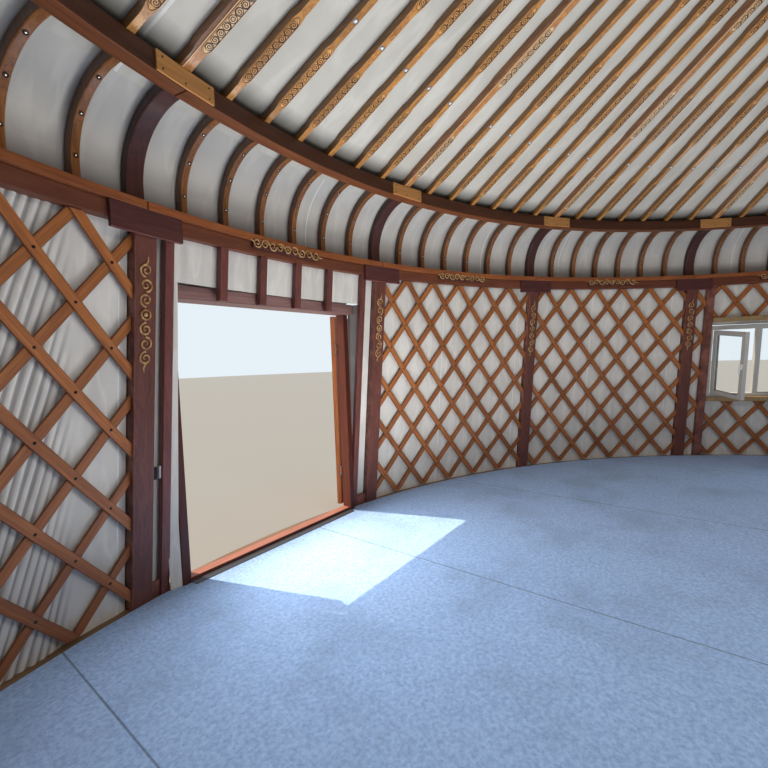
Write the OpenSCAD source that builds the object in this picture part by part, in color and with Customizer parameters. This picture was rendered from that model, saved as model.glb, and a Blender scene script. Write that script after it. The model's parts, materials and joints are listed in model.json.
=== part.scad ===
// Sixteen-sided timber yurt with a raised eave, seen and used from the inside.
// A ring of posts leans inward and carries a lower ring, curved ribs rise from it to an
// upper ring, and straight roof poles run from there to the crown. Lattice panels and felt
// fill the wall, and the doorway and two windows stand in bays of their own.
// All heights named below are measured from the top of the floor covering.

/* [Plan] */
// Radius of the inner edge of the lower ring
ring_r = 5750; // [5700:10:5800]
// How far the foot of the wall stands outside the inner edge of the lower ring
foot_out = 320; // [300:5:340]
// How far the inner face of the upper ring stands inside the lower ring
upper_in = 370; // [350:5:380]
// Outer radius of the crown ring that the roof poles meet
crown_r = 1060; // [1040:10:1100]

/* [Heights] */
// Top of the lower ring
ring_h = 2515; // [2505:5:2525]
// Top of the upper ring
upper_h = 3130; // [3120:5:3140]
// Height at which the undersides of the roof poles would meet
apex_h = 5380; // [5350:10:5410]
// Thickness of the floor deck
deck_t = 62; // [60:1:70]
// Thickness of the floor covering
covering_t = 8; // [6:1:10]

/* [Ring beams] */
// Height of the cap board on the lower ring
cap_h = 50; // [45:1:55]
// Width of the cap board
cap_w = 165; // [160:1:170]
// Height of the rail under the cap
rail_h = 95; // [90:1:100]
// Width of the rail
rail_w = 90; // [85:1:95]
// How far the rail is set back from the edge of the cap
rail_back = 28; // [26:1:32]
// Height of the upper ring
upper_ring_h = 110; // [105:1:115]
// Width of the upper ring
upper_ring_w = 95; // [90:1:100]

/* [Posts and ribs] */
// Width of a post
post_w = 140; // [130:1:145]
// Depth of a post
post_d = 75; // [70:1:80]
// Width of a main rib, at each post
main_rib_w = 110; // [100:1:115]
// Width of a rib between the posts
rib_w = 48; // [44:1:52]
// Depth of every rib
rib_d = 60; // [55:1:65]
// Radius of the bend of the ribs
rib_bend = 470; // [460:5:480]

/* [Roof poles] */
// Width of a roof pole at its narrow lengths
pole_w = 44; // [40:1:46]
// Width of a roof pole at its carved bulges
bulge_w = 62; // [58:1:66]
// Depth of a roof pole
pole_d = 50; // [46:1:54]
// Width of a main rafter at its bulges
rafter_w = 92; // [86:1:96]
// Distance from the foot of a pole to its first bulge
first_bulge = 215; // [200:5:230]
// Length of a bulge
bulge_l = 520; // [480:10:540]
// Distance from one bulge to the next
bulge_pitch = 935; // [920:5:950]

/* [Lattice] */
// Width of a lattice slat
slat_w = 58; // [52:1:60]
// Thickness of a lattice slat
slat_t = 12; // [10:1:14]
// Diamonds across one bay
cells_across = 6; // [5:1:7]
// Height of one diamond
cell_h = 472; // [460:2:484]

/* [Doorway] */
// Clear width between the door jambs
door_w = 1700; // [1680:5:1710]
// Clear height of the doorway
door_h = 2000; // [1990:5:2010]
// Width of a door jamb
jamb_w = 60; // [55:1:60]
// Depth of a door jamb
jamb_d = 105; // [100:1:110]
// Angle at which the leaves stand open
door_open = 165; // [150:1:168]

/* [Windows] */
// Width of the window frame
window_w = 1750; // [1740:2:1756]
// Height of the window above its sill
window_h = 970; // [940:5:980]
// Height of the sill above the floor
sill_h = 850; // [840:5:870]
// Angle at which the casement near the door stands open
sash_open = 72; // [0:1:80]

/* [Hidden] */
$fn = 96;
BAYS = 16;
RIBS = 6;
BULGES = 4;
bay_a = 360 / BAYS;
door_a = -90;
first_post = door_a + bay_a / 2;
floor_h = deck_t + covering_t;
joint_gap = 5;
seat = 0.3;
upper_r = ring_r - upper_in;
upper_back = upper_r + upper_ring_w;
post_top = ring_h - cap_h - rail_h;
face_top = ring_r + rail_back;
face_foot = ring_r + foot_out;
lean = atan((face_foot - face_top) / post_top);
roof_slope = atan((apex_h - upper_h) / upper_r);
pole_rise = pole_d / cos(roof_slope);

// Felt stands behind the lattice, and canvas goes outside the posts and the ribs
lattice_back = 18;
felt_back = 46;
felt_t = 30;
canvas_t = 20;
wall_canvas_t = 8;
roof_t = 26;
eave_in = cap_w + 2;
seam_a = 0.01;

// Studs stand in the face of the wall, in front of the felt
stud_w = 62;
stud_d = 45;
door_stud_shift = 0.35;
side_stud_a = 9.35;
stud_pitch = 3.5;
window_stud_a = 8.9;
window_stud_w = 100;
WINDOW_BAYS = [3, -3];

// Inner face of the wall at a height above the floor
function face_r(h) = face_foot + (face_top - face_foot) * h / post_top;
function post_a(k) = first_post - k * bay_a;
function mid_a(k) = door_a - k * bay_a;
function rib_a(k, j) = mid_a(k) + (j - (RIBS - 1) / 2) * bay_a / (RIBS + 1);
function pole_low(r) = upper_h + (upper_r - r) * tan(roof_slope);
function rect(r, z, w, h) = [[r, z], [r + w, z], [r + w, z + h], [r, z + h]];
function is_window(k) = len(search(k, WINDOW_BAYS)) > 0;

module above_floor() {
    translate([0, 0, floor_h]) children();
}

// A flat piece standing on a radius: its outline is given as radius and height
module on_radius(a, w, outline) {
    rotate([0, 0, a]) rotate([90, 0, 0]) translate([0, 0, -w / 2])
        linear_extrude(height = w) polygon(outline);
}

// A post or stud that leans with the wall, its inner side in the wall's face
module upright(a, w, d, low, high) {
    on_radius(a, w, [[face_r(low), low], [face_r(low) + d, low],
        [face_r(high) + d, high], [face_r(high), high]]);
}

// The room that a post or stud takes up, for cutting what meets it
module slab(a, w) {
    rotate([0, 0, a]) translate([0, -w / 2 - seat, -floor_h])
        cube([face_foot * 2, w + 2 * seat, upper_h]);
}

// A length of ring with a given section, centred on an angle
module arc_of(a, sweep, section) {
    rotate([0, 0, a - sweep / 2]) rotate_extrude(angle = sweep) polygon(section);
}

module ring_of_arcs(section, gap) {
    for (k = [0 : BAYS - 1])
        arc_of(mid_a(k), bay_a - 2 * asin(gap / 2 / section[0][0]), section);
}

// Covers hang in half bays, with a seam between them
module half_bays(section) {
    for (k = [0 : BAYS - 1]) for (s = [-1, 1])
        arc_of(mid_a(k) + s * bay_a / 4, bay_a / 2 - seam_a, section);
}

module floor_deck() {
    color([0.45, 0.33, 0.22])
        cylinder(h = deck_t, r = face_foot + felt_back + felt_t + 30);
}

// The covering stops short of the door frame, which stands on the deck
module floor_covering() {
    notch_w = door_w + 2 * jamb_w + 2 * joint_gap;
    color([0.33, 0.38, 0.42]) translate([0, 0, deck_t]) difference() {
        cylinder(h = covering_t, r = face_foot - joint_gap);
        rotate([0, 0, door_a]) translate([frame_in - joint_gap, -notch_w / 2, -1])
            cube([face_foot, notch_w, covering_t + 2]);
    }
}

module posts() {
    color([0.29, 0.16, 0.18]) above_floor()
        for (k = [0 : BAYS - 1]) upright(post_a(k), post_w, post_d, -covering_t, post_top);
}

module bolsters() {
    bolster_h = 150;
    bolster_l = 450;
    reveal = 4;
    color([0.27, 0.14, 0.16]) above_floor()
        for (k = [0 : BAYS - 1])
            arc_of(post_a(k), bolster_l / ring_r * 180 / PI, rect(ring_r + reveal,
                ring_h - cap_h - bolster_h, rail_back - reveal - seat, bolster_h - seat));
}

module lower_ring_rail() {
    color([0.42, 0.22, 0.13]) above_floor()
        ring_of_arcs(rect(face_top, post_top, rail_w, rail_h - seat), joint_gap);
}

module lower_ring_cap() {
    color([0.60, 0.33, 0.19]) above_floor()
        ring_of_arcs(rect(ring_r, post_top + rail_h, cap_w, cap_h), joint_gap);
}

// A rib stands on the outer part of the cap, then bends inward to the back of the upper ring
rib_out = ring_r + cap_w - 5;
bend_r = rib_out - rib_bend;
bend_h = upper_h - 35 - rib_bend;

module bent_rib(a, w) {
    rotate([0, 0, a]) rotate([90, 0, 0]) translate([0, 0, -w / 2]) linear_extrude(height = w) {
        intersection() {
            difference() {
                translate([bend_r, bend_h]) circle(r = rib_bend, $fn = 128);
                translate([bend_r, bend_h]) circle(r = rib_bend - rib_d, $fn = 128);
            }
            translate([upper_back, bend_h]) square(rib_bend * 2);
        }
        translate([rib_out - rib_d, ring_h]) square([rib_d, bend_h - ring_h]);
    }
}

module main_ribs() {
    color([0.29, 0.16, 0.18]) above_floor()
        for (k = [0 : BAYS - 1]) bent_rib(post_a(k), main_rib_w);
}

module ribs() {
    color([0.47, 0.28, 0.14]) above_floor()
        for (k = [0 : BAYS - 1]) for (j = [0 : RIBS - 1]) bent_rib(rib_a(k, j), rib_w);
}

module upper_ring() {
    color([0.45, 0.25, 0.16]) above_floor()
        ring_of_arcs(rect(upper_r, upper_h - upper_ring_h, upper_ring_w, upper_ring_h), joint_gap);
}

module splice_plates() {
    plate_l = 360;
    plate_t = 12;
    color([0.78, 0.62, 0.42]) above_floor()
        for (k = [0 : BAYS - 1])
            arc_of(post_a(k), plate_l / upper_r * 180 / PI, rect(upper_r - plate_t,
                upper_h - upper_ring_h + 6, plate_t - seat, upper_ring_h - 8));
}

// Half widths of a roof pole along its own length, with a bulge at each pitch
taper = 45;
function pole_half(len, extra) = concat([[0, pole_w / 2 + extra]],
    [for (i = [0 : BULGES - 1]) each let (s = first_bulge + i * bulge_pitch)
        [[s, pole_w / 2 + extra], [s + taper, bulge_w / 2 + extra],
        [s + bulge_l - taper, bulge_w / 2 + extra], [s + bulge_l, pole_w / 2 + extra]]],
    [[len, pole_w / 2 - 4]]);

module roof_pole(a, w) {
    len = (upper_back - crown_r) / cos(roof_slope) + 200;
    half = pole_half(len, (w - bulge_w) / 2);
    rotate([0, 0, a]) difference() {
        translate([upper_back, 0, pole_low(upper_back)])
            rotate([0, roof_slope - 180, 0]) translate([0, 0, -pole_d])
                linear_extrude(height = pole_d) polygon(concat(half,
                    [for (i = [len(half) - 1 : -1 : 0]) [half[i][0], -half[i][1]]]));
        cylinder(h = upper_h, r = upper_back + 100);
        cylinder(h = apex_h * 2, r = crown_r);
    }
}

module poles_of(first, last) {
    color([0.60, 0.39, 0.17]) above_floor()
        for (k = [first : last]) for (j = [0 : RIBS - 1]) roof_pole(rib_a(k, j), bulge_w);
}

module roof_poles_front() {
    poles_of(-4, 3);
}

module roof_poles_back() {
    poles_of(4, 11);
}

module main_rafters() {
    color([0.55, 0.35, 0.16]) above_floor()
        for (k = [0 : BAYS - 1]) roof_pole(post_a(k), rafter_w);
}

crown_h = 140;
crown_w = 110;
crown_low = pole_low(crown_r) - 30;
crown_top = crown_low + crown_h;

module crown_ring() {
    color([0.55, 0.30, 0.17]) above_floor()
        rotate_extrude() polygon(rect(crown_r - crown_w, crown_low, crown_w, crown_h));
}

// Arched bars cross the crown, three whole ones and three let in between them
bar_w = 40;
bar_d = 45;
bar_pitch = 240;
bar_rise = 330;
bar_span = crown_r - crown_w - seat;

module arched_bars() {
    arch_r = (bar_span * bar_span + bar_rise * bar_rise) / (2 * bar_rise);
    low = 60;
    intersection() {
        cylinder(h = apex_h * 2, r = bar_span);
        for (i = [-1 : 1])
            translate([0, i * bar_pitch, crown_top - low + bar_rise - arch_r])
                rotate([90, 0, 0]) translate([0, 0, -bar_w / 2]) linear_extrude(height = bar_w)
                    intersection() {
                        difference() {
                            circle(r = arch_r, $fn = 128);
                            circle(r = arch_r - bar_d, $fn = 128);
                        }
                        translate([-bar_span, arch_r - bar_rise - low])
                            square([bar_span * 2, bar_rise + 2 * low]);
                    }
    }
}

module crown_bars_long() {
    color([0.50, 0.28, 0.15]) above_floor() arched_bars();
}

module crown_bars_cross() {
    color([0.50, 0.28, 0.15]) above_floor() difference() {
        rotate([0, 0, 90]) arched_bars();
        for (i = [-1 : 1]) translate([-crown_r, i * bar_pitch - bar_w / 2 - seat, 0])
            cube([crown_r * 2, bar_w + 2 * seat, apex_h * 2]);
    }
}

// A clear dome closes the crown, its foot on the crown ring
module crown_dome() {
    dome_rise = 430;
    dome_t = 8;
    dome_r = (crown_r * crown_r + dome_rise * dome_rise) / (2 * dome_rise);
    arc_points = 8;
    arc_a = asin(crown_r / dome_r);
    outer = [for (i = [0 : arc_points]) let (a = arc_a * i / arc_points) [sin(a), cos(a)]];
    inner = [for (i = [0 : arc_points]) outer[arc_points - i]];
    color([0.85, 0.88, 0.90, 0.6]) above_floor()
        translate([0, 0, crown_top + dome_rise - dome_r + dome_t * cos(arc_a) + seat])
            rotate_extrude() polygon(concat(outer * dome_r, inner * (dome_r - dome_t)));
}

// One third of a lattice bay is flat, drawn on the leaning face and cut at its own radii
FACETS = 3;
facet_a = bay_a / FACETS;
cell_a = bay_a / cells_across;
lattice_low = 20;
lattice_top = post_top - 6;

// A point of the wall face, given as an angle from the facet's middle and a height
function on_facet(u, h) = [face_r(h) * cos(facet_a / 2) * tan(u), h / cos(lean)];

// Slats of one layer. They cross those of the other layer in a row along the rail
module slats(shift, dir, phase) {
    slope = dir * cell_h / cell_a;
    steps = ceil(lattice_top / cell_h) + cells_across + 1;
    for (i = [-steps : steps]) {
        u0 = (i + phase) * cell_a - post_top / slope - shift;
        h_a = slope * (-facet_a - u0);
        h_b = slope * (facet_a - u0);
        if (max(h_a, h_b) > lattice_low - 200 && min(h_a, h_b) < lattice_top + 200) {
            p = on_facet(-facet_a, h_a);
            q = on_facet(facet_a, h_b);
            n = [p[1] - q[1], q[0] - p[0]] / norm(q - p) * slat_w / 2;
            polygon([p + n, q + n, q - n, p - n]);
        }
    }
}

// The room that a window and its boards take up in a facet
module window_room(shift) {
    low = board_low - seat;
    high = board_high + 8;
    polygon([for (c = [[-1, low], [1, low], [1, high], [-1, high]])
        on_facet(c[0] * window_stud_a - shift, c[1])]);
}

module lattice_facet(k, part) {
    shift = (part - 1) * facet_a;
    half = facet_a / 2;
    fuse_a = 0.02;
    far = face_foot + 200;
    edge = half + fuse_a;
    rotate([0, 0, mid_a(k) + shift]) intersection() {
        union() for (layer = [0, 1])
            translate([(face_foot + lattice_back) * cos(half), 0, 0]) rotate([0, -lean, 0])
                rotate([90, 0, 90]) translate([0, 0, layer * (slat_t - 1)])
                    linear_extrude(height = slat_t) difference() {
                        intersection() {
                            translate([-far, lattice_low]) square([2 * far, lattice_top - lattice_low]);
                            slats(shift, layer == 0 ? 1 : -1, (k + 16) % 2 == 1 ? 0 : 0.5);
                        }
                        if (is_window(k)) window_room(shift);
                    }
        translate([0, 0, -10]) linear_extrude(height = ring_h)
            polygon([[0, 0], [far * cos(edge), -far * sin(edge)], [far * cos(edge), far * sin(edge)]]);
    }
}

module lattice_bays(bays) {
    color([0.60, 0.36, 0.22]) above_floor()
        for (k = bays) difference() {
            for (part = [0 : FACETS - 1]) lattice_facet(k, part);
            for (p = [k, k + 1]) slab(post_a(p), post_w);
            if (is_window(k)) for (s = [-1, 1]) slab(mid_a(k) + s * window_stud_a, window_stud_w);
        }
}

module lattice_front_left() {
    lattice_bays([1, 2]);
}

module lattice_front_right() {
    lattice_bays([-1, -2]);
}

module lattice_left() {
    lattice_bays([3, 4, 5]);
}

module lattice_right() {
    lattice_bays([-3, -4, -5]);
}

module lattice_back_left() {
    lattice_bays([6, 7]);
}

module lattice_back_right() {
    lattice_bays([-6, -7, 8]);
}

// Section of a cover that leans with the wall, behind its inner face
function leaning(back, t, low, high) = [[face_r(low) + back, low], [face_r(low) + back + t, low],
    [face_r(high) + back + t, high], [face_r(high) + back, high]];

cover_high = post_top - seat;
door_cover_a = 9.1;

// A wall cover in half bays as wide as edge allows, cut round the door and the windows
module wall_skin(back, t, edge) {
    for (k = [-7 : 8]) for (s = [-1, 1]) {
        side = k == 0 ? door_cover_a + 0.05 : is_window(k) ? window_stud_a - 0.1 : 0;
        length_of(k, s, side, edge, leaning(back, t, -covering_t, cover_high));
        if (is_window(k)) {
            length_of(k, s, 0, side, leaning(back, t, -covering_t, sill_h - 20));
            length_of(k, s, 0, side, leaning(back, t, sill_h + window_h + 25, cover_high));
        }
    }
}

// The part of a bay's cover between two angles, to one side of the bay's middle
module length_of(k, s, from, to, section) {
    arc_of(mid_a(k) + s * (from + to) / 2, to - from - seam_a, section);
}

module wall_cover() {
    color([0.80, 0.79, 0.77]) above_floor()
        wall_skin(felt_back, felt_t, bay_a / 2 - asin((post_w / 2 + 4) / ring_r));
}

// Canvas goes round outside the posts
module wall_canvas() {
    color([0.84, 0.83, 0.80]) above_floor()
        wall_skin(post_d + 3, wall_canvas_t, bay_a / 2);
}

// Canvas follows the ribs from the ring to where their bend meets the slope of the roof
eave_bend = rib_bend + eave_in - cap_w + 5;
eave_end = 90 - roof_slope;
function on_eave(a, out) = [bend_r + (eave_bend + out) * cos(a), bend_h + (eave_bend + out) * sin(a)];

module eave_cover() {
    low = post_top + 15;
    steps = 6;
    color([0.80, 0.79, 0.77]) above_floor() half_bays(concat(
        [[ring_r + eave_in + canvas_t, low]],
        [for (i = [0 : steps]) on_eave(eave_end * i / steps, canvas_t)],
        [for (i = [steps : -1 : 0]) on_eave(eave_end * i / steps, 0)],
        [[ring_r + eave_in, low]]));
}

module roof_cover() {
    lift = pole_rise + 4;
    foot = on_eave(eave_end + 0.4, 0);
    knee = [upper_back, pole_low(upper_back) + lift];
    top = [crown_r + 2, pole_low(crown_r + 2) + lift];
    up = [0, roof_t / cos(roof_slope)];
    color([0.80, 0.79, 0.77]) above_floor()
        half_bays([foot, foot + up, knee + up, top + up, top, knee]);
}

// The door frame stands plumb on the deck, in the middle of its bay
frame_in = face_foot - 115;
frame_out = frame_in + jamb_d;
head_h = 90;

module in_door_bay() {
    rotate([0, 0, door_a]) children();
}

module door_jambs() {
    color([0.45, 0.20, 0.16]) in_door_bay()
        for (s = [-1, 1])
            translate([frame_in, s * (door_w + jamb_w) / 2 - jamb_w / 2, deck_t])
                cube([jamb_d, jamb_w, door_h + covering_t - seat]);
}

module door_head() {
    front = face_r(door_h) + stud_d + 2;
    color([0.45, 0.20, 0.16]) above_floor() in_door_bay()
        translate([front, -door_w / 2 - jamb_w, door_h])
            cube([frame_out - front, door_w + 2 * jamb_w, head_h]);
}

module door_threshold() {
    threshold_h = 36;
    inset = 15;
    color([0.45, 0.20, 0.15]) in_door_bay()
        translate([frame_in + inset, -door_w / 2 + seat, deck_t])
            cube([jamb_d - inset, door_w - 2 * seat, threshold_h]);
}

// Two studs run from floor to ring beside the door frame, and four stand over its head
function door_stud_a(s) = door_a + door_stud_shift + s * side_stud_a;

module door_studs() {
    color([0.29, 0.16, 0.18]) above_floor() {
        for (s = [-1, 1]) upright(door_stud_a(s), stud_w, stud_d, -covering_t, post_top);
        for (j = [-1.5 : 1.5])
            upright(door_a + door_stud_shift + j * stud_pitch, stud_w, stud_d, door_h, post_top);
    }
}

// Over the door the cover slopes out from the ring to the outer edge of the head
module door_cover() {
    low = door_h + head_h + seat;
    color([0.80, 0.79, 0.77]) above_floor() for (s = [-1, 1])
        length_of(0, s, 0, door_cover_a, [[face_r(low) + felt_back, low], [frame_out, low],
            [face_top + post_d + wall_canvas_t, cover_high], [face_top + felt_back, cover_high]]);
}

// Felt cheeks close the wedge between the plumb jambs and the leaning studs. The stud to
// the left stands further off, so that cheek folds and runs on to it
module door_cheeks() {
    side = door_w / 2 + jamb_w + 1;
    cheek_t = 8;
    top = door_h - seat;
    low = 760;
    back = (face_r(door_h) + stud_d - side * sin(side_stud_a - door_stud_shift))
        / cos(side_stud_a - door_stud_shift) + 3;
    fold = [frame_in + 2, 440];
    fold_top = back - 34;
    color([0.80, 0.79, 0.77]) above_floor() {
        in_door_bay() rotate([90, 0, 0]) {
            translate([0, 0, side]) linear_extrude(height = cheek_t - 2)
                polygon([[frame_in, low], [frame_in, top], [back, top]]);
            translate([0, 0, -side - cheek_t]) linear_extrude(height = cheek_t)
                polygon([fold, [fold[0], top], [fold_top, top]]);
        }
        difference() {
            in_door_bay() rotate([90, 0, 0]) translate([0, 0, -side - 90]) linear_extrude(height = 90)
                polygon([[fold[0], seat], fold, [fold_top, top], [fold_top + 10, top],
                    [fold[0] + 10, fold[1]], [fold[0] + 10, seat]]);
            slab(door_stud_a(1), stud_w);
        }
    }
}

// Each leaf turns on two hinges, whose pins stand outside the face of the jambs
leaf_gap = 6;
leaf_t = 45;
hinge_out = 12;
hinge_inset = 3;
HINGE_HEIGHTS = [400, 1660];
knuckle_r = 9;
knuckle_h = 33;
pin_r = 4.5;
flap_t = 4;
flap_l = 50;
hinge_h = 100;

module at_hinge(s, z) {
    above_floor() in_door_bay()
        translate([frame_out + hinge_out, s * (door_w / 2 - hinge_inset), z]) children();
}

// A knuckle with its web, to the side that y points to
module knuckle(side, low, h) {
    translate([0, 0, low]) {
        cylinder(h = h, r = knuckle_r);
        translate([-hinge_out, side > 0 ? 0 : -hinge_out, 0]) cube([hinge_out, hinge_out, h]);
    }
}

module flap(side) {
    translate([-hinge_out, side > 0 ? hinge_out : -hinge_out - flap_l, -hinge_h / 2])
        cube([flap_t, flap_l, hinge_h]);
}

module door_hinges() {
    pin_gap = 1.5;
    color([0.62, 0.60, 0.56]) for (s = [-1, 1]) for (z = HINGE_HEIGHTS) at_hinge(s, z) {
        upper = knuckle_h / 2 + pin_gap;
        for (low = [-hinge_h / 2, upper]) knuckle(s, low, hinge_h / 2 - upper);
        flap(s);
        cylinder(h = hinge_h, r = pin_r, center = true);
    }
}

// A panelled leaf is drawn shut beside its pin
module door_leaf(s) {
    leaf_w = (door_w - 3 * leaf_gap) / 2;
    low = 40;
    leaf_h = door_h - low - leaf_gap;
    stile = 110;
    recess = 10;
    rail_z = 760;
    pin_play = 0.5;
    pull_h = 240;
    pull_out = 45;
    pull_y = hinge_inset + leaf_w - stile / 2;
    at_hinge(s, 0) rotate([0, 0, s * door_open]) mirror([0, s > 0 ? 0 : 1, 0])
        difference() {
            union() {
                translate([-hinge_out - leaf_t, -hinge_inset - leaf_w, low]) difference() {
                    cube([leaf_t, leaf_w, leaf_h]);
                    for (x = [-1, leaf_t - recess])
                        for (p = [[stile, rail_z - stile], [rail_z + stile, leaf_h - stile]])
                            translate([x, stile, p[0]]) cube([recess + 1, leaf_w - 2 * stile, p[1] - p[0]]);
                }
                for (z = HINGE_HEIGHTS) translate([0, 0, z]) {
                    knuckle(-1, -knuckle_h / 2, knuckle_h);
                    flap(-1);
                }
                for (x = [-hinge_out + pull_out, -hinge_out - leaf_t - pull_out])
                    translate([x, -pull_y, 1000]) cylinder(h = pull_h, r = 9, center = true);
                for (z = [-1, 1]) translate([-hinge_out - leaf_t - pull_out, -pull_y, 1000 + z * pull_h / 3])
                    rotate([0, 90, 0]) cylinder(h = leaf_t + 2 * pull_out, r = 7);
            }
            for (z = HINGE_HEIGHTS) translate([0, 0, z])
                cylinder(h = hinge_h + 2, r = pin_r + pin_play, center = true);
        }
}

module door_leaf_left() {
    color([0.62, 0.35, 0.20]) door_leaf(1);
}

module door_leaf_right() {
    color([0.62, 0.35, 0.20]) door_leaf(-1);
}

// A window stands flat between two studs and leans with the wall
board_h = 60;
board_low = sill_h - board_h;
lintel_low = sill_h + window_h + 60;
board_high = lintel_low + board_h;
frame_back = 57;
frame_d = 62;
frame_w = 55;
mullion_w = 60;
LIGHTS = 3;
light_w = (window_w - 2 * frame_w - (LIGHTS - 1) * mullion_w) / LIGHTS;
frame_low = (sill_h - 15) / cos(lean);
frame_high = (sill_h + window_h + 4) / cos(lean);
light_low = frame_low + frame_w;
light_h = frame_high - frame_low - 2 * frame_w;
sash_w = 55;
sash_d = 50;
sash_gap = 4;
glass_t = 8;

// Local x points out through the wall, y along it to the left, and z up the slope
module in_window(k) {
    above_floor() rotate([0, 0, mid_a(k)]) translate([face_foot * cos(window_stud_a), 0, 0])
        rotate([0, -lean, 0]) children();
}

// Left edge of a light, counted from the side near the door
function light_left(i) = window_w / 2 - frame_w - i * (light_w + mullion_w);

module window_studs() {
    color([0.29, 0.16, 0.18]) above_floor() for (k = WINDOW_BAYS) for (s = [-1, 1])
        upright(mid_a(k) + s * window_stud_a, window_stud_w, stud_d, -covering_t, post_top);
}

module window_boards() {
    board_d = 50;
    board_out = 8;
    color([0.66, 0.55, 0.40]) for (k = WINDOW_BAYS) difference() {
        in_window(k) for (h = [board_low, lintel_low])
            translate([-board_out, -window_w / 2 - 20, h / cos(lean)])
                cube([board_d, window_w + 40, board_h - seat]);
        for (s = [-1, 1]) above_floor() slab(mid_a(k) + s * window_stud_a, window_stud_w);
    }
}

module window_frames() {
    color([0.90, 0.90, 0.89]) for (k = WINDOW_BAYS) in_window(k) difference() {
        translate([frame_back, -window_w / 2, frame_low])
            cube([frame_d, window_w, frame_high - frame_low]);
        for (i = [0 : LIGHTS - 1])
            translate([frame_back - 1, light_left(i) - light_w, light_low])
                cube([frame_d + 2, light_w, light_h]);
    }
}

// The casement lies in the light nearest the door, hung at the frame
module at_casement(k) {
    in_window(k) mirror([0, k > 0 ? 0 : 1, 0])
        translate([frame_back, light_left(0) - sash_gap, light_low + sash_gap])
            rotate([0, 0, k > 0 ? -sash_open : 0]) children();
}

module window_sashes() {
    w = light_w - 2 * sash_gap;
    h = light_h - 2 * sash_gap;
    color([0.90, 0.90, 0.89]) for (k = WINDOW_BAYS) at_casement(k)
        translate([0, -w, 0]) difference() {
            cube([sash_d, w, h]);
            translate([-1, sash_w, sash_w]) cube([sash_d + 2, w - 2 * sash_w, h - 2 * sash_w]);
        }
}

module window_glass() {
    w = light_w - 2 * sash_gap - 2 * sash_w - 2 * seat;
    h = light_h - 2 * sash_gap - 2 * sash_w - 2 * seat;
    color([0.75, 0.84, 0.86, 0.4]) for (k = WINDOW_BAYS) {
        at_casement(k) translate([sash_d / 2, -sash_w - seat - w, sash_w + seat]) cube([glass_t, w, h]);
        in_window(k) mirror([0, k > 0 ? 0 : 1, 0]) for (i = [1 : LIGHTS - 1])
            translate([frame_back + frame_d / 2, light_left(i) - light_w + seat, light_low + seat])
                cube([glass_t, light_w - 2 * seat, light_h - 2 * seat]);
    }
}

floor_deck();
floor_covering();
posts();
bolsters();
lower_ring_rail();
lower_ring_cap();
main_ribs();
ribs();
upper_ring();
splice_plates();
roof_poles_front();
roof_poles_back();
main_rafters();
crown_ring();
crown_bars_long();
crown_bars_cross();
crown_dome();
lattice_front_left();
lattice_front_right();
lattice_left();
lattice_right();
lattice_back_left();
lattice_back_right();
wall_cover();
wall_canvas();
eave_cover();
roof_cover();
door_jambs();
door_head();
door_threshold();
door_studs();
door_cover();
door_cheeks();
door_hinges();
door_leaf_left();
door_leaf_right();
window_studs();
window_boards();
window_frames();
window_sashes();
window_glass();
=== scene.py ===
# %% [markdown]
# # Dressing a round timber house from the inside
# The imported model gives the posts, rings, ribs and poles at their true sizes.
# This lesson adds what a joiner, a carver and a tent maker would add to them.
# Those are rounded edges, grain, wound lattice slats, carved scrolls and hung cloth.
# Everything stands where the model says, so no piece needs fitting by eye.

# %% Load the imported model
import json
import math
import random

import bpy
import numpy as np
from mathutils import Matrix, Vector, noise

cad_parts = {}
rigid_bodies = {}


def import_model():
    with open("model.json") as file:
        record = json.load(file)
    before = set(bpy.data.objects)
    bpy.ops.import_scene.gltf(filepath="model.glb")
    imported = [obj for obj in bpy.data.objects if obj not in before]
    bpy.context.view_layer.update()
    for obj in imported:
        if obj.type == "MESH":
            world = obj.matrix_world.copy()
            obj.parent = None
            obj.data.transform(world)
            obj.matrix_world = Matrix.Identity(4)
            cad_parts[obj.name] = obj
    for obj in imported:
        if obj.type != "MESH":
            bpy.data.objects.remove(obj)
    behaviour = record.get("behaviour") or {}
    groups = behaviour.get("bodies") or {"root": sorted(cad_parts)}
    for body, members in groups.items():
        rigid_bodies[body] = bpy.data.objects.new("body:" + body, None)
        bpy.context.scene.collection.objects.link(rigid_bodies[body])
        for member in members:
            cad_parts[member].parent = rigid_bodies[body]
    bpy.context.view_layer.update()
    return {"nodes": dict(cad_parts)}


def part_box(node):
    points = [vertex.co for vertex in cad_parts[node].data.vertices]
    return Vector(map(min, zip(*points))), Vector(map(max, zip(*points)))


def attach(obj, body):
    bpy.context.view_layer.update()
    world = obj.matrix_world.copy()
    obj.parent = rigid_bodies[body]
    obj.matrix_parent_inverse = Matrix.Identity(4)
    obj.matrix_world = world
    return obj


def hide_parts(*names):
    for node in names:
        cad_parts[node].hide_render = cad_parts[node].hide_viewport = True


bpy.ops.object.select_all(action="SELECT")
bpy.ops.object.delete()
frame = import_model()
bpy.ops.object.select_all(action="DESELECT")
nodes = frame["nodes"]

# %% [markdown]
# ## The plan in numbers
# A round building is easiest to dress in its own terms: an angle, a height and a radius.
# The wall leans inward, so its inner face has a different radius at each height.
# Heights are counted from the top of the floor covering, as a carpenter would measure them.

# %% Sizes that the pieces share
FLOOR = 0.070
BAYS = 16
RIBS = 6
BAY = math.tau / BAYS
RIB_STEP = BAY / (RIBS + 1)
DOOR = -math.pi / 2
POST_TOP = 2.370
RING_R = 5.750
UPPER_R = 5.380
POLE_FOOT_R = 5.475
CROWN_R = 1.060
UPPER_H = 3.130
WINDOW_BAYS = (3, -3)
WALL_FOOT_R, LEAN_IN = 6.070, 0.292
ROOF_POINT_H = 5.380
LEAN = math.atan(LEAN_IN / POST_TOP)
ROOF_SLOPE = math.atan((ROOF_POINT_H - UPPER_H) / UPPER_R)


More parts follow.
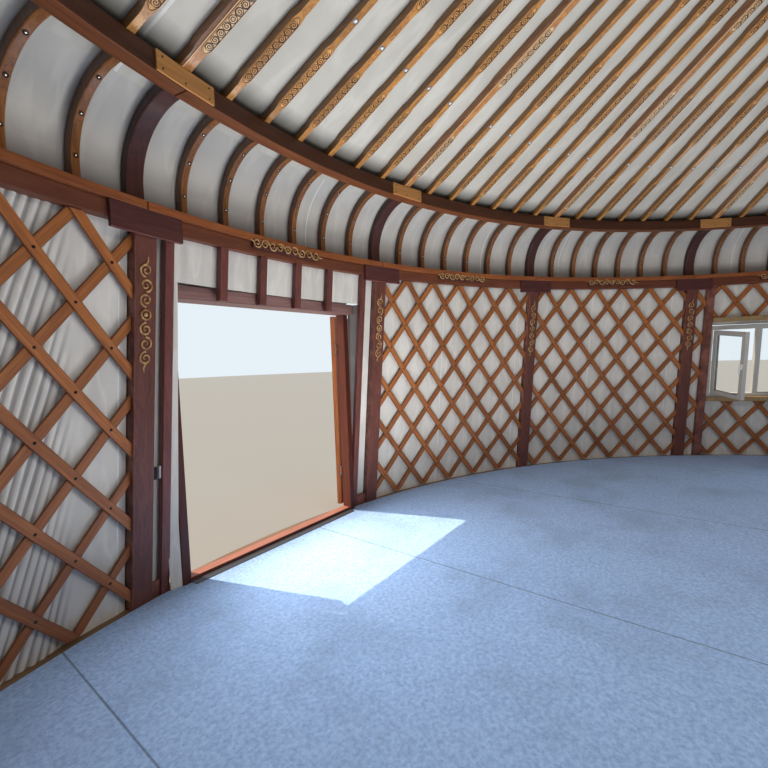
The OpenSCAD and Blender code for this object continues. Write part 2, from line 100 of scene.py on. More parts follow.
def face_r(h):
    return WALL_FOOT_R - LEAN_IN * h / POST_TOP


def mid_a(k):
    return DOOR - k * BAY


def post_a(k):
    return DOOR + BAY / 2 - k * BAY


def at(r, a, h):
    return Vector((r * math.cos(a), r * math.sin(a), h + FLOOR))


print("wall leans by", round(math.degrees(LEAN), 2), "degrees, roof rises at",
      round(math.degrees(ROOF_SLOPE), 2))

# %% [markdown]
# ## The eye
# The view is taken from near the middle of the floor, towards the wall beside the door.
# The lens is wide, so straight posts near the edge of the view look stretched.
# The camera's place and turn were worked out from the ring and posts, whose sizes are known.

# %% Place the camera
eye = Vector((2.311, -3.035, 1.620))
yaw, pitch, roll = math.radians(-142.415), -0.0607737, 0.0350245
SENSOR_MM, PICTURE_PX, FOCAL_PX = 36, 768, 423.113
look = Vector((math.cos(yaw) * math.cos(pitch), math.sin(yaw) * math.cos(pitch), math.sin(pitch)))
level = Vector((math.sin(yaw), -math.cos(yaw), 0))
down = look.cross(level)
across = level * math.cos(roll) + down * math.sin(roll)
below = down * math.cos(roll) - level * math.sin(roll)
turn = Matrix((across, -below, -look)).transposed().to_4x4()
camera = bpy.data.objects.new("eye", bpy.data.cameras.new("eye"))
bpy.context.scene.collection.objects.link(camera)
camera.matrix_world = Matrix.Translation(eye) @ turn
camera.data.lens = SENSOR_MM * FOCAL_PX / PICTURE_PX
camera.data.clip_start = 0.05
bpy.context.scene.camera = camera
print("lens", round(camera.data.lens, 2), "mm")

# %% [markdown]
# ## Ground and sky
# A plain pale floor lies under the house, and a pale sky shows through door and windows.
# The sky is bright where it is seen or mirrored, and dimmer where it lights the house.
# Otherwise its blue light from all sides would drown the warm tones of the wood.

# %% Ground and sky
bpy.ops.mesh.primitive_circle_add(vertices=64, radius=60, fill_type="NGON", location=(0, 0, -0.002))
ground = bpy.context.object
ground.name = "ground"

bpy.context.scene.view_settings.view_transform = "Standard"
world = bpy.data.worlds.new("sky")
bpy.context.scene.world = world
world.use_nodes = True
sky = world.node_tree
sky.nodes.clear()
rays, lit, seen, either, both, pick, sky_out = (
    sky.nodes.new("ShaderNode" + kind) for kind in ("LightPath", "Background", "Background", "Math",
                                                    "Math", "MixShader", "OutputWorld"))
either.operation = both.operation = "MAXIMUM"
for glow, colour, strength in ((lit, (0.86, 0.93, 1.0, 1), 0.38),
                               (seen, (0.80, 0.88, 0.94, 1), 1.0)):
    glow.inputs["Color"].default_value = colour
    glow.inputs["Strength"].default_value = strength
sky.links.new(rays.outputs["Is Camera Ray"], either.inputs[0])
sky.links.new(rays.outputs["Is Glossy Ray"], either.inputs[1])
sky.links.new(either.outputs[0], both.inputs[0])
sky.links.new(rays.outputs["Is Transmission Ray"], both.inputs[1])
sky.links.new(both.outputs[0], pick.inputs[0])
sky.links.new(lit.outputs[0], pick.inputs[1])
sky.links.new(seen.outputs[0], pick.inputs[2])
sky.links.new(pick.outputs[0], sky_out.inputs["Surface"])
print("the sky lights at", round(lit.inputs["Strength"].default_value, 2))

# %% [markdown]
# ## Daylight
# Daylight comes in by the crown, the door and the windows, and bounces off the floor.
# Soft lamps at those places and low over the floor stand in for it, which saves many
# bounces. The sun has a small angle, so what it reaches has clear shadows.

# %% Lamps for the daylight
def lamp(name, kind, place, toward, power, size=1.0, colour=(1, 1, 1), glints=False):
    light = bpy.data.lights.new(name, kind)
    light.energy = power
    light.color = colour
    if kind == "AREA":
        light.shape = "DISK"
        light.size = size
    if kind == "SUN":
        light.angle = size
    holder = bpy.data.objects.new(name, light)
    bpy.context.scene.collection.objects.link(holder)
    holder.location = place
    holder.rotation_euler = (Vector(toward) - Vector(place)).to_track_quat("-Z", "Y").to_euler()
    holder.visible_camera = False
    holder.visible_glossy = glints


lamp("crown_light", "AREA", (0, 0, 4.6), (0.6, -1.8, 0), 98, 2.4, (1.0, 0.98, 0.94))
lamp("floor_bounce", "AREA", (-0.8, -1.8, 0.25), (-0.7, -1.7, 4), 90, 6.4, (1.0, 0.96, 0.90))
lamp("sunlit_floor", "AREA", (-0.4, -4.5, 0.16), (-0.9, -4.4, 3.6), 38, 1.3, (1.0, 0.96, 0.90))
lamp("door_light", "AREA", (0, -5.80, 1.30), (0, 0, 0.8), 44, 1.8, (0.97, 0.98, 1.0), True)
for k, power in zip(WINDOW_BAYS, (8, 20)):
    inside = at(5.55, mid_a(k), 1.35)
    lamp(f"window_light_{'left' if k > 0 else 'right'}", "AREA", inside, (0, 0, 1.8), power, 0.9,
         (0.97, 0.99, 1.0), True)
lamp("sun", "SUN", (3.53, -10.3, 16.8), (0, 0, 0), 4.6, 0.009, (1.0, 0.87, 0.70))

# %% [markdown]
# ## Finishes from shared recipes
# Wood, edge wear, cloth and carving come back in many finishes, so each is a recipe.
# A recipe is a node group with named inputs, placed in every material with its own values.
# The shader and its gloss stay in the material itself, where other programs can read them.

# %% Small helpers for shader trees
def tint(red, green, blue):
    """A colour as a painter's chart gives it, from 0 to 255, in the renderer's own scale"""
    parts = [v / 255 for v in (red, green, blue)]
    return tuple(v / 12.92 if v <= 0.04045 else ((v + 0.055) / 1.055) ** 2.4 for v in parts) + (1,)


def feed(tree, socket, source):
    if isinstance(source, bpy.types.NodeSocket):
        tree.links.new(source, socket)
    elif source is not None:
        socket.default_value = source


def step(tree, kind, *sources, **settings):
    """Adds one node and feeds its inputs in order"""
    made = tree.nodes.new(kind)
    for name, value in settings.items():
        setattr(made, name, value)
    for socket, source in zip(made.inputs, sources):
        feed(tree, socket, source)
    return made.outputs[0]


def where(tree):
    """A point's place in the piece's own frame, which here is the whole house's frame"""
    return tree.nodes.new("ShaderNodeTexCoord").outputs["Object"]


def facing(tree):
    return tree.nodes.new("ShaderNodeNewGeometry").outputs["Normal"]


def calc(tree, operation, *sources):
    return step(tree, "ShaderNodeMath", *sources, operation=operation)


def fit(tree, value, low, high, new_low=0.0, new_high=1.0):
    return step(tree, "ShaderNodeMapRange", value, low, high, new_low, new_high)


def mix(tree, factor, first, second, way="MIX"):
    made = tree.nodes.new("ShaderNodeMix")
    made.data_type = "RGBA"
    made.blend_type = way
    for index, source in ((0, factor), (6, first), (7, second)):
        feed(tree, made.inputs[index], source)
    return made.outputs[2]


print("a node is added and fed by one call")

# %% [markdown]
# ## Coordinates and clouds
# A pattern has to know where a point lies, in the piece's frame or on its UV map.
# These helpers join and part coordinates, and read what a mesh keeps at its corners.
# A cloud is the renderer's smooth noise, which most of the patterns here start from.

# %% Helpers for coordinates and clouds
def join3(tree, x, y, z):
    return step(tree, "ShaderNodeCombineXYZ", x, y, z)


def split3(tree, vector):
    made = tree.nodes.new("ShaderNodeSeparateXYZ")
    tree.links.new(vector, made.inputs[0])
    return made.outputs


def on_map(tree, name):
    """A point's two distances on a named UV map"""
    marks = tree.nodes.new("ShaderNodeUVMap")
    marks.uv_map = name
    return split3(tree, marks.outputs[0])[:2]


def attribute(tree, name):
    made = tree.nodes.new("ShaderNodeAttribute")
    made.attribute_name = name
    return made.outputs["Fac"]


def length2(tree, x, y):
    return calc(tree, "SQRT", calc(tree, "ADD", calc(tree, "MULTIPLY", x, x),
                                   calc(tree, "MULTIPLY", y, y)))


def cloud(tree, place, scale, detail=2.0, roughness=0.5):
    made = tree.nodes.new("ShaderNodeTexNoise")
    for name, source in (("Vector", place), ("Scale", scale), ("Detail", detail),
                         ("Roughness", roughness)):
        feed(tree, made.inputs[name], source)
    return made.outputs["Fac"]


print("a middle grey is", round(tint(128, 128, 128)[0], 3), "in the renderer's scale")

# %% [markdown]
# ## Recipes as node groups
# A group is built once, and its sockets are named as a painter would ask for them.
# One helper opens a new group, and another places it in a material with its values.

# %% Helpers for recipes
def recipe(name, inputs, outputs):
    """A new node group with its sockets. Gives the group, its inputs by name and its way out"""
    group = bpy.data.node_groups.new(name, "ShaderNodeTree")
    kinds = {"value": "NodeSocketFloat", "colour": "NodeSocketColor", "place": "NodeSocketVector"}
    for title, kind in inputs.items():
        group.interface.new_socket(title, in_out="INPUT", socket_type=kinds[kind])
    for title, kind in outputs.items():
        group.interface.new_socket(title, in_out="OUTPUT", socket_type=kinds[kind])
    way_in, way_out = group.nodes.new("NodeGroupInput"), group.nodes.new("NodeGroupOutput")
    return group, way_in.outputs, way_out.inputs


def use(tree, group, **sources):
    """Places a recipe in a tree. Names of its inputs are written with _ for a space"""
    placed = tree.nodes.new("ShaderNodeGroup")
    placed.node_tree = group
    for title, source in sources.items():
        feed(tree, placed.inputs[title.replace("_", " ")], source)
    return placed.outputs


print("node groups so far:", len(bpy.data.node_groups))

# %% [markdown]
# ## Where a point lies on a turned piece
# Sixteen posts are one shape turned about the middle, and so are the ribs and poles.
# Grain has to run along each of them, so this recipe undoes the turn first.
# It gives how far out, across and up a point is, and a chance number for its piece.

# %% Recipe for places on turned pieces
turned, t_in, t_out = recipe("turned_place", {"Place": "place", "First": "value", "Step": "value"},
                             {"Out": "value", "Across": "value", "Up": "value", "Round": "value",
                              "Piece": "value"})
x, y, z = split3(turned, t_in["Place"])
out = length2(turned, x, y)
angle = calc(turned, "ARCTAN2", y, x)
share = calc(turned, "FRACT", calc(turned, "DIVIDE", calc(turned, "SUBTRACT", angle, t_in["First"]),
                                   math.tau))
count = calc(turned, "DIVIDE", math.tau, t_in["Step"])
number = calc(turned, "MULTIPLY", share, count)
nearest = calc(turned, "ROUND", number)
offset = calc(turned, "MULTIPLY", calc(turned, "SUBTRACT", number, nearest), t_in["Step"])
feed(turned, t_out["Out"], out)
feed(turned, t_out["Across"], calc(turned, "MULTIPLY", offset, out))
feed(turned, t_out["Up"], z)
feed(turned, t_out["Round"], calc(turned, "MULTIPLY", angle, out))
chance = turned.nodes.new("ShaderNodeTexWhiteNoise")
chance.noise_dimensions = "1D"
feed(turned, chance.inputs["W"], calc(turned, "MODULO", nearest, calc(turned, "ROUND", count)))
feed(turned, t_out["Piece"], chance.outputs["Value"])
print("recipe", turned.name, "gives", [s.name for s in t_out if s.name])

# %% [markdown]
# ## Grain
# Sawn softwood shows long wavering bands from its rings, with fine fibres between them.
# Both are clouds stretched a great deal along the piece.
# Each piece is a little lighter or darker than its neighbour, as from different boards.

# %% Recipe for grain
grain, g_in, g_out = recipe(
    "timber_grain",
    {"Long": "value", "Wide": "value", "Deep": "value", "Piece": "value",
     "Light": "colour", "Dark": "colour", "Spread": "value"},
    {"Colour": "colour", "Dullness": "value", "Height": "value"})
shift = calc(grain, "MULTIPLY", g_in["Piece"], 37.0)
bands_at = join3(grain, calc(grain, "MULTIPLY_ADD", g_in["Long"], 1.3, shift),
                 calc(grain, "MULTIPLY_ADD", g_in["Wide"], 26.0, shift),
                 calc(grain, "MULTIPLY", g_in["Deep"], 26.0))
fibres_at = join3(grain, calc(grain, "MULTIPLY_ADD", g_in["Long"], 7.0, shift),
                  calc(grain, "MULTIPLY", g_in["Wide"], 330.0),
                  calc(grain, "MULTIPLY", g_in["Deep"], 330.0))
bands = cloud(grain, bands_at, 1.0, 4.0, 0.55)
rings = calc(grain, "PINGPONG", calc(grain, "MULTIPLY", bands, 6.0), 0.5)
fibres = cloud(grain, fibres_at, 1.0, 3.0, 0.6)
figure = calc(grain, "ADD", calc(grain, "MULTIPLY", bands, 0.45),
              calc(grain, "ADD", calc(grain, "MULTIPLY", rings, 0.35),
                   calc(grain, "MULTIPLY", fibres, 0.40)))
tone = fit(grain, figure, 0.30, 0.68)
mixed = mix(grain, tone, g_in["Dark"], g_in["Light"])
own = calc(grain, "MULTIPLY_ADD", calc(grain, "SUBTRACT", g_in["Piece"], 0.5), g_in["Spread"], 1.0)
feed(grain, g_out["Colour"], mix(grain, 1.0, mixed, join3(grain, own, own, own), "MULTIPLY"))
feed(grain, g_out["Dullness"], fit(grain, fibres, 0.3, 0.7, 0.0, 1.0))
feed(grain, g_out["Height"], calc(grain, "ADD", calc(grain, "MULTIPLY", fibres, 0.6),
                                  calc(grain, "MULTIPLY", rings, 0.4)))
print("recipe", grain.name, "gives", [s.name for s in g_out if s.name])

# %% [markdown]
# ## Edges that hands and cloths have rubbed
# Stain wears thin along corners, so they show a paler line.
# The recipe takes the distance from a piece's middle line and its half width.
# A cloud breaks the line up, because wear is never even.

# %% Recipe for rubbed edges
rubbed, r_in, r_out = recipe("rubbed_edge", {"Across": "value", "Half": "value", "Band": "value",
                                             "Place": "place"}, {"Mask": "value"})
near = calc(rubbed, "SUBTRACT", r_in["Half"], calc(rubbed, "ABSOLUTE", r_in["Across"]))
line = fit(rubbed, near, r_in["Band"], 0.0)
patchy = fit(rubbed, cloud(rubbed, r_in["Place"], 9.0, 3.0, 0.6), 0.40, 0.62)
feed(rubbed, r_out["Mask"], calc(rubbed, "MULTIPLY", line, patchy))
print("recipe", rubbed.name, "gives", [s.name for s in r_out if s.name])

# %% [markdown]
# ## Dark sides: stain and painted shade
# The sides of the ribs and poles are darker than the faces that look into the room, partly by a
# darker stain and partly as painted shade.
# The sides of the ribs and poles were stained darker than the faces that look into the room.
# A side face looks along the circle, so its normal is compared with that direction.

# %% Recipe for the sides of turned pieces
sides, s_in, s_out = recipe("side_face", {"Place": "place", "Normal": "place"}, {"Mask": "value"})
x, y, _ = split3(sides, s_in["Place"])
facing_x, facing_y, _ = split3(sides, s_in["Normal"])
along = calc(sides, "SUBTRACT", calc(sides, "MULTIPLY", x, facing_y),
             calc(sides, "MULTIPLY", y, facing_x))
share = calc(sides, "ABSOLUTE", calc(sides, "DIVIDE", along, length2(sides, x, y)))
feed(sides, s_out["Mask"], fit(sides, share, 0.62, 0.92))
print("recipe", sides.name, "gives", [s.name for s in s_out if s.name])

# %% [markdown]
# ## One maker for all the turned timber
# Posts, ribs, rings and poles differ in colour, in gloss and in the way their grain runs.
# The maker puts the recipes together and takes these differences as arguments.

# %% Maker of finishes for turned timber
def principled(name, roughness, **sockets):
    """A new material with constant values set on the shader itself"""
    made = bpy.data.materials.new(name)
    made.use_nodes = True
    shader = made.node_tree.nodes["Principled BSDF"]
    shader.inputs["Roughness"].default_value = roughness
    for title, value in sockets.items():
        shader.inputs[title.replace("_", " ")].default_value = value
    return made, made.node_tree, shader


def bump(tree, shader, height, strength, distance):
    made = tree.nodes.new("ShaderNodeBump")
    made.inputs["Strength"].default_value = strength
    made.inputs["Distance"].default_value = distance
    tree.links.new(height, made.inputs["Height"])
    tree.links.new(made.outputs[0], shader.inputs["Normal"])


def turned_timber(name, light, dark, first, pitch, runs, half=0.0, worn=None, spread=0.25,
                  gloss=(0.42, 0.62), coat=0.0, under=None, stain_and_shade=None, board=None):
    """under is a height below which the wood is painted paler, as painted light from the floor
    below, and board is a distance across, past which the wood is painted darker, as painted shade
    """
    made, tree, shader = principled(name, 0.5, Coat_Weight=coat, Coat_Roughness=0.22)
    place = where(tree)
    spot = use(tree, turned, Place=place, First=first, Step=pitch)
    way = {"up": ("Up", "Across", "Out"), "out": ("Out", "Across", "Up"),
           "round": ("Round", "Out", "Up")}[runs]
    wood = use(tree, grain, Long=spot[way[0]], Wide=spot[way[1]], Deep=spot[way[2]],
               Piece=spot["Piece"], Light=light, Dark=dark, Spread=spread)
    colour = wood["Colour"]
    if half:
        wear = use(tree, rubbed, Across=spot["Across"], Half=half, Band=0.009, Place=place)["Mask"]
        colour = mix(tree, calc(tree, "MULTIPLY", wear, 0.7), colour, worn or light)
    # Darker sides by facing alone: partly a real stain, partly painted shade where the light misses
    # the sides
    if stain_and_shade:
        at_side = use(tree, sides, Place=place, Normal=facing(tree))["Mask"]
        colour = mix(tree, calc(tree, "MULTIPLY", at_side, 0.9), colour,
                     mix(tree, 1.0, wood["Colour"], stain_and_shade, "MULTIPLY"))
    # Painted shade: past a distance across, the underside is painted darker, for the shaded side of
    # a deep dark board
    if board:
        edge_at, darker = board
        colour = mix(tree, fit(tree, spot["Across"], edge_at, edge_at + 0.002), colour,
                     mix(tree, 1.0, wood["Colour"], darker, "MULTIPLY"))
    # Painted light: the underside and lower edge are painted paler, as if lit from the bright floor
    # below
    if under:
        low, painted_light = under
        colour = mix(tree, fit(tree, spot["Up"], low + 0.006, low + 0.002), colour,
                     mix(tree, 1.0, wood["Colour"], painted_light, "MULTIPLY"))
    feed(tree, shader.inputs["Base Color"], colour)
    feed(tree, shader.inputs["Roughness"], fit(tree, wood["Dullness"], 0.0, 1.0, *gloss))
    bump(tree, shader, wood["Height"], 0.25, 0.002)
    return made


print("one maker serves posts, ribs, rings and poles")

# %% [markdown]
# ## Finishes of the turned timber
# Posts and rings are stained a dark red brown, and the poles are varnished and paler.
# Each finish gives the light and dark tone of its grain, and where its first copy stands.
# A stain and painted shade darken the sides, and some undersides are painted paler, as painted
# light from the floor below.

# %% Finishes for posts, ribs, rings and poles
FIRST_POST, FIRST_MID, FIRST_RIB = post_a(0), mid_a(0), mid_a(0) - 2.5 * RIB_STEP
RAIL_LOW, RING_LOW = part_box("lower_ring_rail")[0][2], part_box("upper_ring")[0][2]
BOLSTER_LOW, PLATE_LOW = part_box("bolsters")[0][2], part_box("splice_plates")[0][2]
# On the bolsters, rail, upper ring and splice plates, under paints the underside paler: painted
# light from the floor
looks = {
    "posts": turned_timber("stained_post", tint(112, 66, 54), tint(72, 40, 35), FIRST_POST, BAY,
                           "up", 0.070, tint(150, 96, 80)),
    "bolsters": turned_timber("stained_bolster", tint(88, 50, 46), tint(60, 32, 32), FIRST_POST,
                              BAY, "round", under=(BOLSTER_LOW, (2.2, 2.1, 2.1, 1))),
    "lower_ring_rail": turned_timber("rail_board", tint(116, 67, 46), tint(80, 43, 31), FIRST_MID,
                                     BAY, "round", under=(RAIL_LOW, (1.1, 1.1, 1.0, 1))),
    "lower_ring_cap": turned_timber("cap_board", tint(158, 92, 50), tint(108, 58, 30), FIRST_MID,
                                    BAY, "round", coat=0.05),
    "main_ribs": turned_timber("stained_rib", tint(84, 48, 42), tint(54, 30, 27), FIRST_POST, BAY,
                               "up", 0.055, tint(118, 76, 64), coat=0.15,
                               stain_and_shade=(0.46, 0.40, 0.40, 1)),
    "ribs": turned_timber("varnished_rib", tint(152, 96, 50), tint(92, 56, 28), FIRST_RIB, RIB_STEP,
                          "up", 0.024, tint(196, 132, 72), coat=0.28, gloss=(0.32, 0.48),
                          stain_and_shade=(0.40, 0.40, 0.42, 1)),
    "upper_ring": turned_timber("upper_ring_board", tint(78, 45, 29), tint(48, 28, 19), FIRST_MID,
                                BAY, "round", under=(RING_LOW, (3.0, 2.4, 1.2, 1))),
    "roof_poles_front": turned_timber("varnished_pole", tint(212, 152, 80), tint(140, 88, 42),
                                      FIRST_RIB, RIB_STEP, "out", coat=0.45, gloss=(0.28, 0.42),
                                      stain_and_shade=(0.34, 0.36, 0.42, 1)),
    "main_rafters": turned_timber("main_rafter", tint(206, 144, 84), tint(140, 90, 48), FIRST_POST,
                                  BAY, "out", coat=0.40, gloss=(0.30, 0.45),
                                  stain_and_shade=(0.34, 0.36, 0.42, 1),
                                  # board paints one side of the rafter's underside darker, as
                                  # painted shade
                                  board=(0.017, (0.42, 0.40, 0.44, 1))),
    "crown_ring": turned_timber("crown_wood", tint(150, 84, 48), tint(100, 52, 30), 0.0, BAY,
                                "round", coat=0.15),
    "door_studs": turned_timber("stained_stud", tint(118, 68, 60), tint(80, 42, 40), FIRST_MID,
                                RIB_STEP, "up"),
    "splice_plates": turned_timber("plywood", tint(182, 132, 78), tint(148, 102, 56), FIRST_POST,
                                   BAY, "round", spread=0.18, gloss=(0.45, 0.62),
                                   under=(PLATE_LOW, (1.5, 1.4, 1.3, 1))),
    "floor_deck": turned_timber("deck_boards", tint(150, 118, 86), tint(96, 72, 52), FIRST_MID,
                                BAY, "round"),
}
looks["roof_poles_back"] = looks["roof_poles_front"]
looks["window_studs"] = looks["posts"]
looks["crown_bars_long"] = looks["crown_ring"]
looks["crown_bars_cross"] = looks["crown_ring"]
print("turned timber finishes:", len(set(looks.values())))

# %% [markdown]
# ## Joinery that stands square
# The door, its frame and the window boards aren't turned about the middle.
# Their grain follows plain upright or level coordinates of the whole model.

# %% Maker of finishes for square timber
def plain_timber(name, light, dark, upright=True, coat=0.0, gloss=(0.45, 0.65), room=None):
    """room is a colour that darkens the faces that look into the room, as painted shade"""
    made, tree, shader = principled(name, 0.5, Coat_Weight=coat, Coat_Roughness=0.25)
    place = where(tree)
    px, py, pz = split3(tree, place)
    level = calc(tree, "ADD", px, calc(tree, "MULTIPLY", py, 0.8))
    longest, widest = (pz, level) if upright else (level, pz)
    wood = use(tree, grain, Long=longest, Wide=widest, Deep=py, Piece=0.4, Light=light,
               Dark=dark, Spread=0.1)
    rub = fit(tree, cloud(tree, place, 5.0, 4.0, 0.65), 0.58, 0.75)
    colour = mix(tree, calc(tree, "MULTIPLY", rub, 0.3), wood["Colour"], light)
    # Painted shade: the faces that look into the room are darkened
    if room:
        room_side_shade = split3(tree, facing(tree))[1]
        colour = mix(tree, fit(tree, room_side_shade, 0.5, 0.8), colour,
                     mix(tree, 1.0, colour, room, "MULTIPLY"))
    feed(tree, shader.inputs["Base Color"], colour)
    feed(tree, shader.inputs["Roughness"], fit(tree, wood["Dullness"], 0.0, 1.0, *gloss))
    bump(tree, shader, wood["Height"], 0.25, 0.002)
    return made


print("a second maker serves door, frame and boards")

# %% [markdown]
# ## Smooth materials
# Window plastic, hinges and rings are each of one colour, but never quite evenly so.
# Two clouds, a fine and a broad one, shift the tone and the gloss a little.
# That is enough to keep them from looking like a drawing of plastic or metal.

# %% Maker of smooth finishes
def smooth_finish(name, colour, roughness, scale=40.0, amount=0.05, depth=0.0003, **sockets):
    """Plastic, metal or sheet: even in colour, with a slight unevenness in tone and gloss"""
    made, tree, shader = principled(name, roughness, **sockets)
    place = where(tree)
    fine = cloud(tree, place, scale, 4.0, 0.6)
    broad = cloud(tree, place, 1.3, 3.0, 0.55)
    both_ways = calc(tree, "ADD", calc(tree, "MULTIPLY", fine, 0.5),
                     calc(tree, "MULTIPLY", broad, 0.5))
    level = fit(tree, both_ways, 0.35, 0.65, 1.0 - amount, 1.0 + amount)
    feed(tree, shader.inputs["Base Color"],
         mix(tree, 1.0, colour, join3(tree, level, level, level), "MULTIPLY"))
    feed(tree, shader.inputs["Roughness"], fit(tree, both_ways, 0.35, 0.65,
                                               max(roughness - 0.08, 0.02), roughness + 0.08))
    bump(tree, shader, fine, 0.3, depth)
    return made


print("a third maker serves plastic and metal")

# %% [markdown]
# ## A short blue carpet
# The floor is covered with a short carpet in strips two metres wide.
# Tufts and flecks are fine clouds, and a broad one dulls it where people walk.
# A thin dark line marks where two strips meet.

# %% Finish of the carpet
carpet, tree, shader = principled("floor_carpet", 0.88, Sheen_Weight=0.12, Specular_IOR_Level=0.25)
place = where(tree)
tufts = cloud(tree, place, 210.0, 3.0, 0.7)
flecks = cloud(tree, place, 46.0, 4.0, 0.65)
trodden = cloud(tree, place, 1.6, 5.0, 0.6)
from_join = calc(tree, "PINGPONG", calc(tree, "ADD", split3(tree, place)[0], 0.35), 1.0)
join = fit(tree, from_join, 0.007, 0.002)
pile = mix(tree, fit(tree, flecks, 0.34, 0.66), tint(118, 155, 214), tint(168, 206, 252))
pile = mix(tree, fit(tree, tufts, 0.30, 0.72, 0.0, 0.6), pile, tint(188, 214, 250))
pile = mix(tree, fit(tree, trodden, 0.48, 0.72, 0.0, 0.45), pile, tint(122, 144, 180))
feed(tree, shader.inputs["Base Color"],
     mix(tree, calc(tree, "MULTIPLY", join, 0.65), pile, tint(70, 82, 108)))
bump(tree, shader, calc(tree, "SUBTRACT", calc(tree, "ADD", calc(tree, "MULTIPLY", tufts, 0.7),
                                               calc(tree, "MULTIPLY", flecks, 0.5)), join),
     0.7, 0.003)
print("carpet nodes:", len(tree.nodes))

# %% [markdown]
# ## Finishes on the imported model
# The remaining imported pieces get their finishes, and then each slot is filled.
# Glass and dome bend light a little less than real ones, so the view through stays even.

# %% Finishes for door, windows and floor
# On the jamb and the threshold, the faces that look into the room get painted shade
looks["door_jambs"] = plain_timber("door_frame_wood", tint(138, 68, 44), tint(96, 45, 31), coat=0.1,
                                   room=(0.36, 0.34, 0.36, 1))
looks["door_head"] = plain_timber("door_head_wood", tint(152, 116, 110), tint(108, 80, 78), False)
looks["door_threshold"] = plain_timber("threshold_wood", tint(196, 132, 114), tint(150, 94, 78),
                                       False, room=(0.25, 0.19, 0.19, 1))
looks["door_leaf_left"] = plain_timber("door_leaf_wood", tint(206, 124, 66), tint(160, 84, 40),
                                       coat=0.2)
looks["door_leaf_right"] = looks["door_leaf_left"]
looks["window_boards"] = plain_timber("pale_board", tint(166, 140, 98), tint(134, 108, 72), False)
looks["window_frames"] = smooth_finish("window_plastic", tint(188, 186, 180), 0.38, amount=0.02)
looks["window_sashes"] = looks["window_frames"]
looks["door_hinges"] = smooth_finish("hinge_metal", tint(168, 164, 156), 0.34, 120.0, 0.08,
                                     Metallic=1.0)
looks["floor_covering"] = carpet
looks["window_glass"] = principled("clear_glass", 0.02, Transmission_Weight=1.0, IOR=1.2,
                                   Base_Color=(0.97, 0.99, 0.99, 1))[0]
looks["crown_dome"] = principled("dome_plastic", 0.08, Transmission_Weight=1.0, IOR=1.15,
                                 Base_Color=(0.94, 0.97, 0.99, 1))[0]
for name, material in looks.items():
    for holder in nodes[name].material_slots:
        holder.material = material
ground_look = principled("pale_floor", 0.8, Base_Color=(0.34, 0.34, 0.335, 1))[0]
ground.data.materials.append(ground_look)
print("packed nodes with a finish:", len(looks), "of", len(nodes))

# %% [markdown]
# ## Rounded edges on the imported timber
# A planed board never has a knife edge, and light catches the small round along it.
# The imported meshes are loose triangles, so a first modifier joins their corners.
# A bevel then rounds only the real edges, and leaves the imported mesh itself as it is.

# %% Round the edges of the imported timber
joined = bpy.data.node_groups.new("joined_corners", "GeometryNodeTree")
joined.interface.new_socket("Geometry", in_out="INPUT", socket_type="NodeSocketGeometry")
joined.interface.new_socket("Geometry", in_out="OUTPUT", socket_type="NodeSocketGeometry")
chain = [joined.nodes.new(kind) for kind in ("NodeGroupInput", "GeometryNodeMergeByDistance",
                                             "GeometryNodeRemoveAttribute",
                                             "GeometryNodeSetShadeSmooth", "NodeGroupOutput")]
for first, second in zip(chain, chain[1:]):
    joined.links.new(first.outputs[0], second.inputs[0])
chain[1].inputs["Distance"].default_value = 0.00005
chain[2].inputs["Name"].default_value = "custom_normal"


def rounded(name, width, segments):
    piece = nodes[name]
    piece.modifiers.new("joined", "NODES").node_group = joined
    edge = piece.modifiers.new("rounded", "BEVEL")
    edge.width, edge.segments, edge.limit_method = width, segments, "ANGLE"
    edge.angle_limit = math.radians(35)
    piece.modifiers.new("even_light", "WEIGHTED_NORMAL")


for width, segments, names in (
        (0.012, 3, "main_ribs"), (0.010, 3, "ribs"), (0.008, 2, "crown_ring"),
        (0.006, 2, "roof_poles_front roof_poles_back main_rafters door_threshold"),
        (0.005, 2, "posts lower_ring_cap upper_ring crown_bars_long crown_bars_cross"),
        (0.004, 2, "bolsters lower_ring_rail door_studs window_studs door_jambs door_head"),
        (0.003, 2, "window_boards window_frames window_sashes"), (0.002, 1, "splice_plates")):
    for name in names.split():
        rounded(name, width, segments)
print("packed nodes with rounded edges:", sum(bool(o.modifiers) for o in nodes.values()))

# %% [markdown]
# ## Working by hand in code
# Edit-mode tools act on all that is selected, so each step first chooses its faces or edges.
# These helpers start a primitive, choose parts by a rule, ease edges and join pieces.

# %% Helpers for shaping a piece
def only(piece):
    bpy.ops.object.select_all(action="DESELECT")
    piece.select_set(True)
    bpy.context.view_layer.objects.active = piece


def choose(piece, kind, rule):
    """In edit mode, selects the vertices, edges or faces whose middle and normal pass a rule"""
    bpy.ops.mesh.select_mode(type=kind)
    bpy.ops.mesh.select_all(action="DESELECT")
    bpy.ops.object.mode_set(mode="OBJECT")
    mesh = piece.data
    if kind == "FACE":
        for face in mesh.polygons:
            face.select = rule(face.center, face.normal)
    elif kind == "EDGE":
        for edge in mesh.edges:
            ends = [mesh.vertices[v].co for v in edge.vertices]
            edge.select = rule((ends[0] + ends[1]) / 2, (ends[1] - ends[0]).normalized())
    else:
        for vertex in mesh.vertices:
            vertex.select = rule(vertex.co, vertex.normal)
    bpy.ops.object.mode_set(mode="EDIT")


def block(name, size, place=(0, 0, 0)):
    """A box primitive with its size and place in its mesh, ready to be shaped"""
    bpy.ops.object.select_all(action="DESELECT")
    bpy.ops.mesh.primitive_cube_add(size=1, location=place)
    piece = bpy.context.object
    piece.name = piece.data.name = name
    piece.scale = size
    bpy.ops.object.transform_apply(location=True, rotation=True, scale=True)
    return piece


